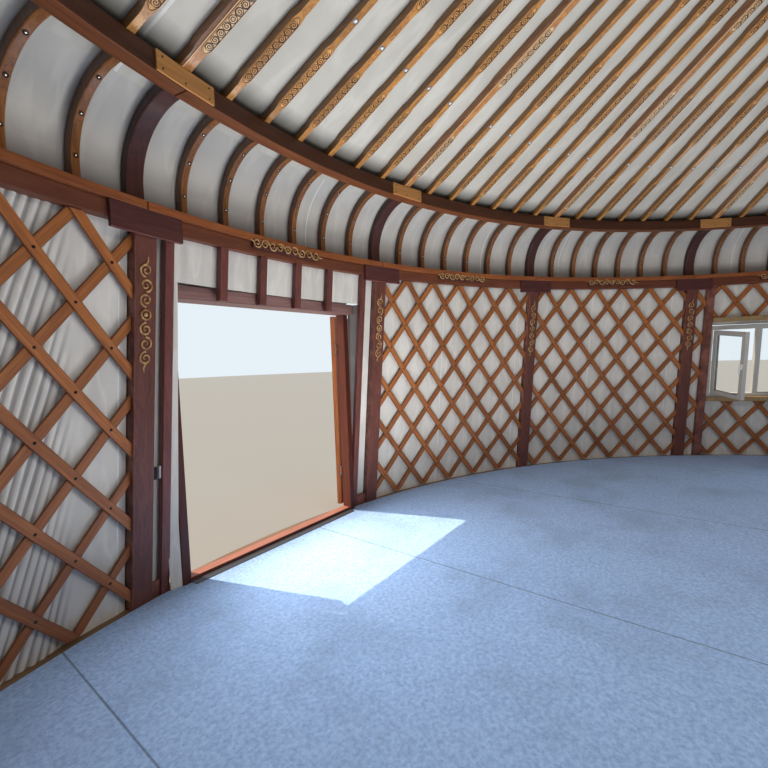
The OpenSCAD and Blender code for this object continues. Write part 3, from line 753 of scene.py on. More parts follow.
def eased(piece, width, segments, rule=lambda m, d: True):
    """Rounds the edges of the active piece that pass a rule"""
    bpy.ops.object.mode_set(mode="EDIT")
    choose(piece, "EDGE", rule)
    bpy.ops.mesh.bevel(offset=width, segments=segments)
    bpy.ops.object.mode_set(mode="OBJECT")
    return piece


def face_outward(piece):
    only(piece)
    bpy.ops.object.mode_set(mode="EDIT")
    bpy.ops.mesh.select_all(action="SELECT")
    bpy.ops.mesh.normals_make_consistent(inside=False)
    bpy.ops.object.mode_set(mode="OBJECT")


def merged(parts):
    """Joins several objects into the first of them"""
    only(parts[0])
    for part in parts:
        part.select_set(True)
    bpy.ops.object.join()
    return parts[0]


print("shaping is by vertices, edges or faces")

# %% [markdown]
# ## Finishing and copying
# A finished piece has its place in its mesh, and its object stays at the origin.
# What repeats is modelled once, and each copy gets a mesh and a chance tone of its own.
# Copies are then joined, so that one piece holds a whole set.

# %% Helpers for finishing and copying
def finished(piece, body, slot, *materials, sharp=40):
    only(piece)
    bpy.ops.object.shade_smooth_by_angle(angle=math.radians(sharp))
    if materials:
        piece.data.materials.clear()
        for material in materials:
            piece.data.materials.append(material)
    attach(piece, body)
    bpy.ops.object.select_all(action="DESELECT")
    return piece


def copied(model, name, places, rng=None):
    """Copies a model to each place, each copy with its own mesh and tone, and joins them"""
    made = []
    for place in places:
        mesh = model.data.copy()
        mesh.transform(place)
        if rng:
            held = mesh.attributes.get("tone") or mesh.attributes.new("tone", "FLOAT", "POINT")
            held.data.foreach_set("value", [rng.random()] * len(mesh.vertices))
        piece = bpy.data.objects.new(name, mesh)
        bpy.context.scene.collection.objects.link(piece)
        made.append(piece)
    whole = merged(made)
    whole.name = whole.data.name = name
    return whole


def discard(*models):
    for model in models:
        bpy.data.objects.remove(model)


print("copies are joined into one piece for each set")

# %% [markdown]
# ## Places on the leaning wall
# Much is fixed to the wall's inner face, which leans inward and goes round.
# A frame there is a matrix with its axes along the wall, up the lean and into the room.

# %% A frame on the wall
def on_face(a, h, off=0.0):
    """A frame on the wall's inner face: x to the right, y up the lean, z into the room"""
    outward = Vector((math.cos(a) * math.cos(LEAN), math.sin(a) * math.cos(LEAN), math.sin(LEAN)))
    right = Vector((math.sin(a), -math.cos(a), 0))
    turn = Matrix((right, right.cross(outward), -outward)).transposed().to_4x4()
    return Matrix.Translation(at(face_r(h) + off, a, h)) @ turn


print("a frame on the wall:", [round(v, 3) for v in on_face(DOOR, 1.0).translation])

# %% [markdown]
# ## Lattice slats
# The wall panels are slats of bent wood in two layers, bolted where they cross.
# On this round wall a slat is a gentle spiral, so all slats of a layer are one shape, turned.
# One slat is shaped flat, its front edges eased, then laid on the wall and cut level.

# %% Model one slat of each layer
SLAT_L, SLAT_W, SLAT_T = 2.70, 0.058, 0.012
SLAT_FOOT, SLAT_RISE = -0.06, 2.50
SLAT_OFF, LAYER_OFF = 0.018, 0.0115
CELL_A, CELL_H = BAY / 6, 0.472
LOW, HIGH = 0.020, 2.364


def saw(place, away):
    """In edit mode, cuts off what lies beyond a plane and closes the cut"""
    bpy.ops.mesh.select_all(action="SELECT")
    bpy.ops.mesh.bisect(plane_co=place, plane_no=away, use_fill=True, clear_outer=True)


def slat_a(h, layer):
    return (1 if layer == 0 else -1) * (h - POST_TOP) / CELL_H * CELL_A


def one_slat(name, layer):
    piece = block(name, (SLAT_L, SLAT_W, SLAT_T), (SLAT_L / 2, 0, -SLAT_T / 2))
    bpy.ops.object.mode_set(mode="EDIT")
    choose(piece, "EDGE", lambda m, d: abs(d.x) > 0.9 and m.z > -0.001)
    bpy.ops.mesh.bevel(offset=0.0025, segments=1)
    choose(piece, "EDGE", lambda m, d: abs(d.x) > 0.9)
    bpy.ops.mesh.subdivide(number_cuts=7)
    bpy.ops.object.mode_set(mode="OBJECT")
    marks = piece.data.uv_layers.new(name="along_slat")
    for loop in piece.data.loops:
        spot = piece.data.vertices[loop.vertex_index].co
        marks.data[loop.index].uv = (spot.x, spot.y + 0.5 * spot.z)
    for vertex in piece.data.vertices:
        h = SLAT_FOOT + vertex.co.x / SLAT_L * SLAT_RISE
        here = on_face(slat_a(h, layer), h, SLAT_OFF + LAYER_OFF * layer)
        behind, ahead = (at(face_r(v) + SLAT_OFF, slat_a(v, layer), v) for v in (h, h + 0.01))
        along = (ahead - behind).normalized()
        inward = here.to_3x3() @ Vector((0, 0, 1))
        side = inward.cross(along).normalized()
        vertex.co = here.translation + side * vertex.co.y + inward * vertex.co.z
    bpy.ops.object.mode_set(mode="EDIT")
    saw((0, 0, LOW + FLOOR), (0, 0, -1))
    saw((0, 0, HIGH + FLOOR), (0, 0, 1))
    bpy.ops.object.mode_set(mode="OBJECT")
    face_outward(piece)
    return piece


models = [one_slat("slat_rising", 0), one_slat("slat_falling", 1)]
print("one slat has", [len(m.data.polygons) for m in models], "faces")

# %% [markdown]
# ## Bays of lattice
# A bay's slats are cut off beside the posts, and beside the studs where there is a window.
# A bisect with a filled end does what a saw does, so each bay is sawn to its own edges.
# A window bay is sawn into four parts, two strips beside it and one above and one below.

# %% Helpers for sawing slats to a bay
STUD_A = math.radians(8.9)
POST_SAW, STUD_SAW = 0.0703, 0.0503
SAW_SILL, SAW_LINTEL = 0.7897, 1.948


def beside(a, gap, side):
    """A saw cut along a post or stud at an angle, a gap to one side. It clears the post's side"""
    left = Vector((-math.sin(a), math.cos(a), 0))
    return left * gap * side, left * -side


def sawn(model, cuts):
    piece = bpy.data.objects.new(model.name, model.data.copy())
    bpy.context.scene.collection.objects.link(piece)
    only(piece)
    bpy.ops.object.mode_set(mode="EDIT")
    for place, away in cuts:
        saw(place, away)
    bpy.ops.object.mode_set(mode="OBJECT")
    return piece


def regions(k):
    """The saw cuts round each part of a bay"""
    ends = [beside(post_a(k), POST_SAW, -1), beside(post_a(k + 1), POST_SAW, 1)]
    if k not in WINDOW_BAYS:
        return [ends]
    studs = [mid_a(k) + STUD_A, mid_a(k) - STUD_A]
    inner = [beside(studs[0], STUD_SAW, -1), beside(studs[1], STUD_SAW, 1)]
    level = Vector((0, 0, 1))
    return [[ends[0], beside(studs[0], STUD_SAW, 1)], [ends[1], beside(studs[1], STUD_SAW, -1)],
            inner + [(level * (SAW_SILL + FLOOR), level)],
            inner + [(level * (SAW_LINTEL + FLOOR), -level)]]


print("a window bay is sawn into", len(regions(WINDOW_BAYS[0])), "parts")

# %% [markdown]
# ## Slats in every bay
# Copies of the two slats are turned round the house, a cell apart, and sawn bay by bay.
# Their grain follows a UV map made while the slat was flat, so it bends with the wood.
# The long edges are darker: painted shade, for the thin shadow line along each slat.

# %% Fill the bays with slats
def lattice(name, node, bays):
    rng = random.Random(name)
    parts = []
    for k in bays:
        phase = 0.0 if k % 2 else 0.5
        turns = []
        for layer, model in enumerate(models):
            sign = 1 if layer == 0 else -1
            places = []
            for i in range(-9, 10):
                top = (i + phase) * CELL_A
                foot = top - sign * (POST_TOP - LOW) / CELL_H * CELL_A
                if max(top, foot) > -BAY / 2 and min(top, foot) < BAY / 2:
                    places.append(Matrix.Rotation(mid_a(k) + top, 4, "Z"))
            turns.append(copied(model, "layer", places, rng))
        both_layers = merged(turns)
        parts += [sawn(both_layers, cuts) for cuts in regions(k)]
        discard(both_layers)
    panel_slats = merged(parts)
    panel_slats.name = panel_slats.data.name = name
    finished(panel_slats, "frame", "lattice_timber", slat_look, sharp=30)
    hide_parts(node)
    return panel_slats


def slat_finish():
    made, tree, shader = principled("lattice_slat", 0.5, Coat_Weight=0.1, Coat_Roughness=0.3)
    along, across = on_map(tree, "along_slat")
    wood = use(tree, grain, Long=along, Wide=across, Deep=0.0, Piece=attribute(tree, "tone"),
               Light=tint(172, 106, 54), Dark=tint(116, 65, 32), Spread=0.35)
    # Painted shade: both long edges of every slat are darkened, for the thin shadow line each slat
    # casts
    edge = fit(tree, calc(tree, "ABSOLUTE", across), 0.0240, 0.0275)
    feed(tree, shader.inputs["Base Color"],
         mix(tree, calc(tree, "MULTIPLY", edge, 0.75), wood["Colour"], tint(84, 44, 32)))
    feed(tree, shader.inputs["Roughness"], fit(tree, wood["Dullness"], 0.0, 1.0, 0.42, 0.6))
    bump(tree, shader, wood["Height"], 0.3, 0.002)
    return made


slat_look = slat_finish()
slats = [lattice("slats_" + part, "lattice_" + part, bays) for part, bays in (
    ("front_left", (1, 2)), ("front_right", (-1, -2)), ("left", (3, 4, 5)),
    ("right", (-3, -4, -5)), ("back_left", (6, 7)), ("back_right", (-6, -7, 8)))]
discard(*models)
print("slat faces:", [len(s.data.polygons) for s in slats])

# %% [markdown]
# ## Bolts through the crossings
# Each crossing is held by a small dark bolt with a domed head.
# There are hundreds, so the head has only a few faces: a short drum, drawn in and raised.

# %% Model a bolt head and set one in each crossing
def drum(name, sides, radius, height):
    bpy.ops.object.select_all(action="DESELECT")
    bpy.ops.mesh.primitive_cylinder_add(vertices=sides, radius=radius, depth=height,
                                        location=(0, 0, height / 2))
    piece = bpy.context.object
    piece.name = piece.data.name = name
    bpy.ops.object.transform_apply(location=True, rotation=True, scale=True)
    bpy.ops.object.mode_set(mode="EDIT")
    choose(piece, "FACE", lambda m, n: n.z < -0.5)
    bpy.ops.mesh.delete(type="FACE")
    return piece


bolt = drum("bolt_head", 8, 0.0085, 0.002)
choose(bolt, "FACE", lambda m, n: n.z > 0.5)
bpy.ops.mesh.inset(thickness=0.0030, depth=0.0022)
bpy.ops.object.mode_set(mode="OBJECT")
POST_CLEAR, STUD_CLEAR = BAY / 2 - 0.0165, 0.012
spots = []
for k in [b for b in range(-7, 9) if b]:
    phase = 0.0 if k % 2 else 0.5
    for row in range(1, 10):
        h = POST_TOP - row * CELL_H / 2
        for i in range(-4, 5):
            side = (i + phase + 0.5 * (row % 2)) * CELL_A
            near_post = abs(side) > POST_CLEAR
            near_window = k in WINDOW_BAYS and abs(side) < STUD_A + STUD_CLEAR and (
                0.76 < h < 1.97 or abs(side) > STUD_A - STUD_CLEAR)
            if not near_post and not near_window:
                spots.append(on_face(mid_a(k) + side, h, 0.0178))
bolt_look = smooth_finish("bolt_metal", tint(58, 50, 46), 0.42, 300.0, 0.1, Metallic=0.9)
bolts = finished(copied(bolt, "lattice_bolts", spots), "frame", "hinge_steel", bolt_look)
discard(bolt)
print("bolts:", len(spots), "of", len(bolts.data.polygons) // len(spots), "faces each")

# %% [markdown]
# ## Cloth
# White cloth lines the wall behind the lattice, the eave behind the ribs and the roof.
# Hung cloth is never flat: it falls in soft upright folds and dips between what holds it.
# Each cloth is one surface laid out in metres, so its seams and weave follow its own cut.

# %% Recipe for woven cloth
weave, w_in, w_out = recipe("cloth_weave", {"U": "value", "V": "value", "Seam pitch": "value",
                                            "Seam width": "value"},
                            {"Tone": "value", "Seam": "value", "Height": "value"})
on_cloth = join3(weave, w_in["U"], w_in["V"], 0.0)
felted = cloud(weave, on_cloth, 260.0, 3.0, 0.6)
mottled = cloud(weave, on_cloth, 2.2, 5.0, 0.55)
crease_at = join3(weave, calc(weave, "MULTIPLY", w_in["U"], 5.0),
                  calc(weave, "MULTIPLY", w_in["V"], 1.3), 3.0)
swing = calc(weave, "SUBTRACT", cloud(weave, crease_at, 1.0, 3.0, 0.5), 0.5)
creases = calc(weave, "ABSOLUTE", swing)
sharp = fit(weave, creases, 0.0, 0.06, 1.0, 0.0)
from_seam = calc(weave, "PINGPONG", w_in["U"], calc(weave, "MULTIPLY", w_in["Seam pitch"], 0.5))
seam = fit(weave, from_seam, w_in["Seam width"], calc(weave, "MULTIPLY", w_in["Seam width"], 0.6))
tone = fit(weave, calc(weave, "ADD", calc(weave, "MULTIPLY", mottled, 0.7),
                       calc(weave, "MULTIPLY", felted, 0.3)), 0.3, 0.7)
feed(weave, w_out["Tone"], calc(weave, "MULTIPLY_ADD", sharp, 0.5, tone))
feed(weave, w_out["Seam"], seam)
feed(weave, w_out["Height"], calc(weave, "ADD", calc(weave, "MULTIPLY", felted, 0.10),
                                  calc(weave, "ADD", calc(weave, "MULTIPLY", sharp, 0.35),
                                       calc(weave, "MULTIPLY", seam, 0.5))))


print("recipe", weave.name, "gives", [s.name for s in w_out if s.name])

# %% [markdown]
# ## Finishes of the cloths
# The linings are off white, the canvas outside is a little darker, and the bands are brown.
# Valleys between folds get less light than a few bounces can show, so a cloth's hollows
# are toned down. Where the roof cloth meets the upper ring it is in deep shade.

# %% Finishes for linings, canvas and bands
def cloth_finish(name, light, dark, tape, pitch, width, depth=0.004, shade=None):
    """tape is the seams' colour. shade darkens the cloth between heights on its own cut"""
    made, tree, shader = principled(name, 0.9, Sheen_Weight=0.25, Sheen_Roughness=0.5,
                                    Specular_IOR_Level=0.2)
    u, v = on_map(tree, "cut")
    fabric = use(tree, weave, U=u, V=v, Seam_pitch=pitch, Seam_width=width)
    colour = mix(tree, fabric["Tone"], dark, light)
    colour = mix(tree, fabric["Seam"], colour, tape)
    colour = mix(tree, attribute(tree, "hollow"), colour,
                 mix(tree, 1.0, colour, (0.50, 0.49, 0.51, 1), "MULTIPLY"))
    if shade:
        *fades, darker = shade
        masks = [fit(tree, v, start, end) for start, end in fades]
        mask = masks[0] if len(masks) == 1 else calc(tree, "MULTIPLY", *masks)
        colour = mix(tree, mask, colour, mix(tree, 1.0, colour, darker, "MULTIPLY"))
    feed(tree, shader.inputs["Base Color"], colour)
    bump(tree, shader, fabric["Height"], 0.6, depth)
    return made


lining_look = cloth_finish("lining_cloth", tint(216, 213, 206), tint(195, 192, 186),
                           tint(230, 230, 227), 1.16, 0.007)
eave_look = cloth_finish("eave_cloth", tint(202, 199, 192), tint(184, 181, 175),
                         tint(226, 226, 223), 1.16, 0.006,
                         shade=((0.30, 0.20), (0.58, 0.585, 0.60, 1)))
roof_look = cloth_finish("roof_cloth", tint(207, 204, 194), tint(188, 185, 175),
                         tint(232, 231, 226), 2.4, 0.007,
                         shade=((5.25, 5.41), (5.52, 5.46), (0.10, 0.085, 0.065, 1)))
# A darker copy of the lining cloth for the right cheek: painted shade
shaded_cheek_look = cloth_finish("shaded_cheek_cloth", tint(170, 167, 162), tint(150, 147, 142),
                          tint(180, 178, 172), 1.16, 0.006)
canvas_look = cloth_finish("outer_canvas", tint(202, 200, 194), tint(191, 189, 183),
                           tint(206, 202, 192), 1.3, 0.010)
band_look = cloth_finish("woven_band", tint(150, 92, 66), tint(128, 74, 54), tint(190, 160, 110),
                         0.035, 0.003, 0.001)
print("cloth recipes and finishes are ready")

# %% [markdown]
# ## Laying out a cloth
# A cloth is sampled on a grid: u runs along it and v up it.
# A rule turns each grid point into a place, and the same numbers in metres become its UV map.
# The flat size that it was cut to is then measured from the finished surface.

# %% Build cloths from a rule
def hollow_of(row, reach):
    """From 0 on a ridge to 1 in a valley, where a cloth lies behind the mean of its neighbours"""
    padded = np.pad(row, reach, mode="edge")
    mean = np.convolve(padded, np.ones(2 * reach + 1) / (2 * reach + 1), "valid")
    return np.clip((row - mean) / 0.0035, 0.0, 1.0).tolist()


def cloth(name, patches, rule, spacing, slot, look, nodes_for, inward=True):
    """A patch is (u0, u1, v0, v1), and may have a finer spacing of its own after these.
    rule(u, v) gives a point's place and its two distances in metres"""
    corners, faces, marks, sunk = [], [], [], []
    for u0, u1, v0, v1, *own_spacing in patches:
        along, upward = own_spacing or spacing
        start = len(corners)
        (_, (mu0, mv0)), (_, (mu1, mv1)) = rule(u0, v0), rule(u1, v1)
        across = max(2, round(abs(mu1 - mu0) / along))
        up = max(2, round(abs(mv1 - mv0) / upward))
        for j in range(up + 1):
            for i in range(across + 1):
                place, mark = rule(u0 + (u1 - u0) * i / across, v0 + (v1 - v0) * j / up)
                corners.append(place)
                marks.append(mark)
            row = np.array([math.hypot(p.x, p.y) + p.z for p in corners[-across - 1:]])
            sunk.extend(hollow_of(row, max(1, round(0.035 / along))))
        for j in range(up):
            for i in range(across):
                a = start + j * (across + 1) + i
                quad = (a + 1, a + across + 2, a + across + 1, a)
                faces.append(quad if inward else quad[::-1])
    mesh = bpy.data.meshes.new(name)
    mesh.from_pydata(corners, [], faces)
    layer = mesh.uv_layers.new(name="cut")
    flat = np.array([marks[loop.vertex_index] for loop in mesh.loops], np.float32)
    layer.data.foreach_set("uv", flat.ravel())
    held_in = mesh.attributes.new("hollow", "FLOAT", "POINT")
    held_in.data.foreach_set("value", sunk)
    piece = bpy.data.objects.new(name, mesh)
    bpy.context.scene.collection.objects.link(piece)
    finished(piece, "frame", slot, look, sharp=60)
    if nodes_for:
        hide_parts(*nodes_for)
    area = sum(f.area for f in mesh.polygons)
    tall = max(m[1] for m in marks) - min(m[1] for m in marks)
    side = math.sqrt(area) if area > 60 else area / tall
    flat = (math.ceil(side * 1000) / 1000, math.ceil(area / side * 1000) / 1000)
    print(name, len(faces), "faces,", round(area, 1), "square metres")


print("a cloth is cut to its finished surface")

# %% [markdown]
# ## Folds
# Hung cloth falls in upright folds of two widths, and drifts a little on its way down.
# Smooth noise makes some stretches deeper than others, as between two ties.
# The patches leave out the posts, the windows and the door.

# %% Folds, and the patches of the wall
def fold(s, h, seed, size):
    """How far hung cloth stands forward of its middle plane, in metres"""
    drift = 0.10 * noise.noise(Vector((s * 0.9, h * 0.30, seed)))
    wave = 0.50 * math.sin(math.tau * (s + drift) / 0.33)
    wave += 0.32 * math.sin(math.tau * (s + 1.7 * drift) / 0.142 + 1.3)
    wave += 0.40 * noise.noise(Vector((s * 5.0, h * 0.9, seed + 7)))
    strength = 0.55 + 0.9 * abs(noise.noise(Vector((s * 0.6, h * 0.2, seed + 3))))
    return size * wave * strength * (0.75 + 0.25 * math.cos(h * 1.2))


HALF_BAY = BAY / 2 - math.asin(0.074 / RING_R)
CLOTH_LOW, CLOTH_TOP = -0.008, 2.3697
WINDOW_LOW, WINDOW_TOP = 0.830, 1.845
WINDOW_EDGE, DOOR_EDGE = math.radians(8.8), math.radians(9.15)
GATHERED_BAY, GATHERED_SPACING = -1, (0.0066, 0.0236)


def wall_patches(bays, half, door_side):
    """Whole bays, four parts round each window, and the piece beside the door"""
    found = []
    for k in bays:
        m = mid_a(k)
        left, right = m - WINDOW_EDGE, m + WINDOW_EDGE
        if k in WINDOW_BAYS:
            found += [(m - half, left, CLOTH_LOW, CLOTH_TOP),
                      (right, m + half, CLOTH_LOW, CLOTH_TOP),
                      (left, right, CLOTH_LOW, WINDOW_LOW),
                      (left, right, WINDOW_TOP, CLOTH_TOP)]
        else:
            finer = GATHERED_SPACING if k == GATHERED_BAY and half == HALF_BAY else ()
            found.append((m - half, m + half, CLOTH_LOW, CLOTH_TOP, *finer))
    found.append((DOOR + DOOR_EDGE, DOOR + half, CLOTH_LOW, CLOTH_TOP) if door_side > 0
                 else (DOOR - half, DOOR - DOOR_EDGE, CLOTH_LOW, CLOTH_TOP))
    return found


print("a bay of cloth spans", round(math.degrees(2 * HALF_BAY), 1), "degrees")

# %% [markdown]
# ## The wall's lining
# Beside the door the cloth is drawn tight, so narrow folds slant across one bay.
# Elsewhere it hangs free behind the lattice, which holds it back from the room.
# It never comes nearer than the slats, so the rule ends each fold there.

# %% Line the wall
WALL_R = 6.0
TIGHT_START, TIGHT_FULL, TIGHT_END = (math.radians(a) for a in (-75.3, -72.9, -34))
FOLD_SLANT, FOLD_PITCH = 0.28, 0.048
LINING_OFF, LINING_NEAR, LINING_FAR = 0.061, 0.048, 0.0745


def gathers(a, h):
    """Narrow slanting folds in the bay left of the door, where the cloth is drawn tight"""
    share = min(max((a - TIGHT_START) / (TIGHT_FULL - TIGHT_START), 0.0), 1.0)
    if share == 0.0 or a > TIGHT_END:
        return 0.0
    drift = 0.05 * noise.noise(Vector((a * 9.0, h * 0.8, 2.0)))
    s = a * WALL_R + FOLD_SLANT * h + drift
    ridge = 1 - 2 * abs(math.sin(math.pi * s / FOLD_PITCH)) ** 1.5
    wide = math.sin(math.tau * s / 0.19 + 0.6)
    uneven = 0.75 + 0.6 * noise.noise(Vector((s * 4.0, h * 1.1, 6.0)))
    return share * (3 - 2 * share) * share * (0.0072 * ridge * uneven + 0.0030 * wide)


def lining_rule(a, h):
    s = a * WALL_R
    near_door = abs(a - (DOOR + BAY)) < BAY / 2 or abs(a - (DOOR + 2 * BAY)) < BAY / 2
    off = LINING_OFF + fold(s, h, 5.0, 0.0095 if near_door else 0.0055) + gathers(a, h)
    return at(face_r(h) + min(max(off, LINING_NEAR), LINING_FAR), a, h), (s, h)


WALL_HALVES = (("left", range(1, 8), -1), ("right", [-b for b in range(1, 8)] + [8], 1))
for side, bays, door_side in WALL_HALVES:
    cloth("wall_lining_" + side, wall_patches(bays, HALF_BAY, door_side), lining_rule,
          (0.024, 0.11), "felt", lining_look, ["wall_cover"])

# %% [markdown]
# ## The eave's lining
# The eave cloth stands up behind the ribs and bends inward with them.
# It dips out between each pair, and lies flat again where the roof cloth laps it.

# %% Line the eave
BEND_R, BEND_H = 5.440, 2.625
EAVE_R, EAVE_LOW, EAVE_RISE, EAVE_BEND = 5.917, 2.385, 0.240, 0.477
EAVE_END = math.pi / 2 - ROOF_SLOPE + 0.006
ROOF_OUT, ROOF_IN = 5.621, 1.064


def between(a):
    """0 at a rib or pole and 1 half way to the next"""
    share = ((a - post_a(0)) / RIB_STEP) % 1.0
    return math.sin(math.pi * share) ** 0.7


EAVE_V = EAVE_RISE + EAVE_BEND * EAVE_END


def eave_point(a, v, out, dip):
    """v is metres up from the foot of the eave"""
    dip *= min(1.0, max(0.0, (EAVE_V - v) / 0.16))
    push = out - dip * between(a) - 0.0015 * noise.noise(Vector((a * 30, v * 4, 2.0)))
    if v < EAVE_RISE:
        return at(EAVE_R + push, a, EAVE_LOW + v)
    bend, reach = min((v - EAVE_RISE) / EAVE_BEND, EAVE_END), EAVE_BEND + push
    return at(BEND_R + reach * math.cos(bend), a, BEND_H + reach * math.sin(bend))


for side, (a0, a1) in (("left", (DOOR - math.pi, DOOR)), ("right", (DOOR, DOOR + math.pi))):
    cloth("eave_lining_" + side, [(a0, a1, 0.0, EAVE_V)],
          lambda a, v: (eave_point(a, v, 0.003, 0.010), (a * 5.7, v)), (0.050, 0.066), "felt",
          eave_look, ["eave_cover"])
print("the eave cloth is", round(EAVE_V, 2), "m high")

# %% [markdown]
# ## The roof's lining
# The roof cloth lies on the poles, and dips a little between each pair.
# The dips grow towards the wall, because the poles spread apart like the ribs of a fan.

# %% Line the roof
def pole_low(r):
    return UPPER_H + (UPPER_R - r) * math.tan(ROOF_SLOPE)


KNEE = pole_low(POLE_FOOT_R)


def roof_height(r, lift):
    if r > POLE_FOOT_R:
        share = (r - POLE_FOOT_R) / (ROOF_OUT - POLE_FOOT_R)
        return (KNEE + lift) * (1 - share) + (3.0663 + lift - 0.0582) * share
    return pole_low(r) + lift


def roof_rule(a, r):
    dip = 0.013 * between(a) * (r / 5.4) * min(1.0, max(0.0, (5.62 - r) / 0.15))
    crumple = 0.003 * noise.noise(Vector((r * math.cos(a) * 4, r * math.sin(a) * 4, 1.0)))
    return at(r, a, roof_height(r, 0.0588) - dip + crumple * between(a)), (a * 3.6, r)


cloth("roof_lining", [(DOOR - math.pi, DOOR + math.pi, ROOF_IN, ROOF_OUT)], roof_rule,
      (0.036, 0.16), "felt", roof_look, ["roof_cover"])

# %% [markdown]
# ## Outside
# A canvas keeps the weather off. It hangs outside the posts, and one cap covers roof and eave.
# Two woven bands hold the wall canvas, one under the windows and one over them.

# %% Cover the outside
FULL_BAY = BAY / 2 - math.radians(0.005)
CANVAS_OFF, BAND_OFF = 0.0825, 0.0895


def canvas_rule(a, h):
    s = a * WALL_R
    wave = 0.0028 * math.sin(math.tau * s / 0.41 + 2 * math.sin(s))
    return at(face_r(h) + CANVAS_OFF + wave, a, h), (s, h)


for side, bays, door_side in WALL_HALVES:
    cloth("wall_canvas_" + side, wall_patches(bays, FULL_BAY, door_side), canvas_rule,
          (0.07, 0.30), "canvas", canvas_look, ["wall_canvas"], False)
ROOF_SPAN = ROOF_OUT - ROOF_IN


def cap_rule(a, v):
    """v is metres from the foot of the eave, up the bend and on to the crown"""
    if v < EAVE_V:
        return eave_point(a, v, 0.0195, 0.0), (a * 5.0, v)
    r = ROOF_OUT - (v - EAVE_V)
    ripple = 0.004 * noise.noise(Vector((r * 1.7, a * 9, 4.0)))
    return at(r, a, roof_height(r, 0.0845) + ripple), (a * 5.0, v)


cloth("roof_canvas", [(DOOR - math.pi, DOOR + math.pi, 0.0, EAVE_V + ROOF_SPAN)], cap_rule,
      (0.11, 0.12), "canvas", canvas_look, ["roof_cover", "eave_cover"],
      False)


def band_rule(a, h):
    return at(face_r(h) + BAND_OFF, a, h), (a * WALL_R, h)


BAND_END = math.radians(9.3)
for side, (a0, a1) in (("left", (DOOR - math.pi, DOOR - BAND_END)),
                       ("right", (DOOR + BAND_END, DOOR + math.pi))):
    cloth("bands_" + side, [(a0, a1, 0.62, 0.70), (a0, a1, 2.00, 2.08)], band_rule, (0.12, 0.04),
          "canvas", band_look, [], False)

# %% [markdown]
# ## Cloth round the door
# Over the door a cloth hangs behind the short studs, and a flap outside sheds the rain.
# The flap starts on the door's flat head and ends on the round wall.

# %% Line over the door
COVER_A = math.radians(9.1)
HEAD_TOP, FLAP_RISE = 2.0925, 0.31


def over_door(a, h):
    s = a * WALL_R
    return at(face_r(h) + 0.052 + fold(s, h, 9.0, 0.005), a, h), (s, h)


def door_flap(a, v):
    """v is metres up the flap, from the flat frame of the door to the round wall"""
    share = v / FLAP_RISE
    r = (6.058 / math.cos(a - DOOR) * 0.996) * (1 - share) + (face_r(POST_TOP) + 0.080) * share
    return at(r, a, HEAD_TOP + (CLOTH_TOP - HEAD_TOP) * share), (a * WALL_R, v)


cloth("door_lining", [(DOOR - COVER_A, DOOR + COVER_A, HEAD_TOP, CLOTH_TOP)], over_door,
      (0.022, 0.03), "felt", lining_look, ["door_cover"])
cloth("door_flap", [(DOOR - COVER_A, DOOR + COVER_A, 0.0, FLAP_RISE)], door_flap, (0.10, 0.10),
      "canvas", canvas_look, ["door_cover"], False)


print("over the door the cloth spans", round(math.degrees(2 * COVER_A), 1), "degrees")

# %% [markdown]
# ## Cheeks of cloth beside the door
# The door's frame stands upright and the wall leans, so a gap opens towards the top.
# Narrow cheeks of cloth close it, one on each side, and widen upwards as the gap does.

# %% Line beside the door
CHEEK_OUT, CHEEK_IN, CHEEK_LOW = 5.955, 5.800, 0.76


def right_cheek(u, h):
    """u runs from the jamb's outer edge inward, as far as the lean asks at this height"""
    edge = CHEEK_OUT - (CHEEK_OUT - CHEEK_IN) * max(0.0, (h - CHEEK_LOW) / 1.24)
    out = CHEEK_OUT + (edge - CHEEK_OUT) * u
    wave = 0.0015 * math.sin(h * 9.0)
    return Vector((-0.914 + wave, -out, h + FLOOR)), (out, h)


def left_cheek(u, h):
    """The cheek runs back along the jamb, folds, and goes on to the stud"""
    fold_out = 5.960 - (5.960 - 5.770) * max(0.0, (h - 0.440) / 1.56)
    reach = 5.957 - fold_out
    if u < 0.5:
        out, x = 5.957 - reach * u * 2, 0.9155
    else:
        out, x = fold_out, 0.9155 + (u - 0.5) * 2 * 0.082
    wave = 0.002 * noise.noise(Vector((u * 6, h * 1.5, 8.0)))
    return Vector((x + wave, -out + wave, h + FLOOR)), (u * 0.25, h)


# The right cheek takes the darker cloth, as painted shade
cloth("door_cheek_right", [(0.0, 1.0, 0.77, 2.090)], right_cheek, (0.02, 0.06), "felt",
      shaded_cheek_look, ["door_cheeks"])
cloth("door_cheek_left", [(0.0, 1.0, 0.002, 2.090)], left_cheek, (0.02, 0.06), "felt",
      lining_look, ["door_cheeks"])

# %% [markdown]
# ## Carved swellings on the roof poles
# Each pole swells four times, and the underside of each swelling carries a carved panel.
# The panel is a raised frame with pointed ends round a sunk field, modelled once.
# The scrolls in the field are too many to model, so a recipe draws them from the UV map.

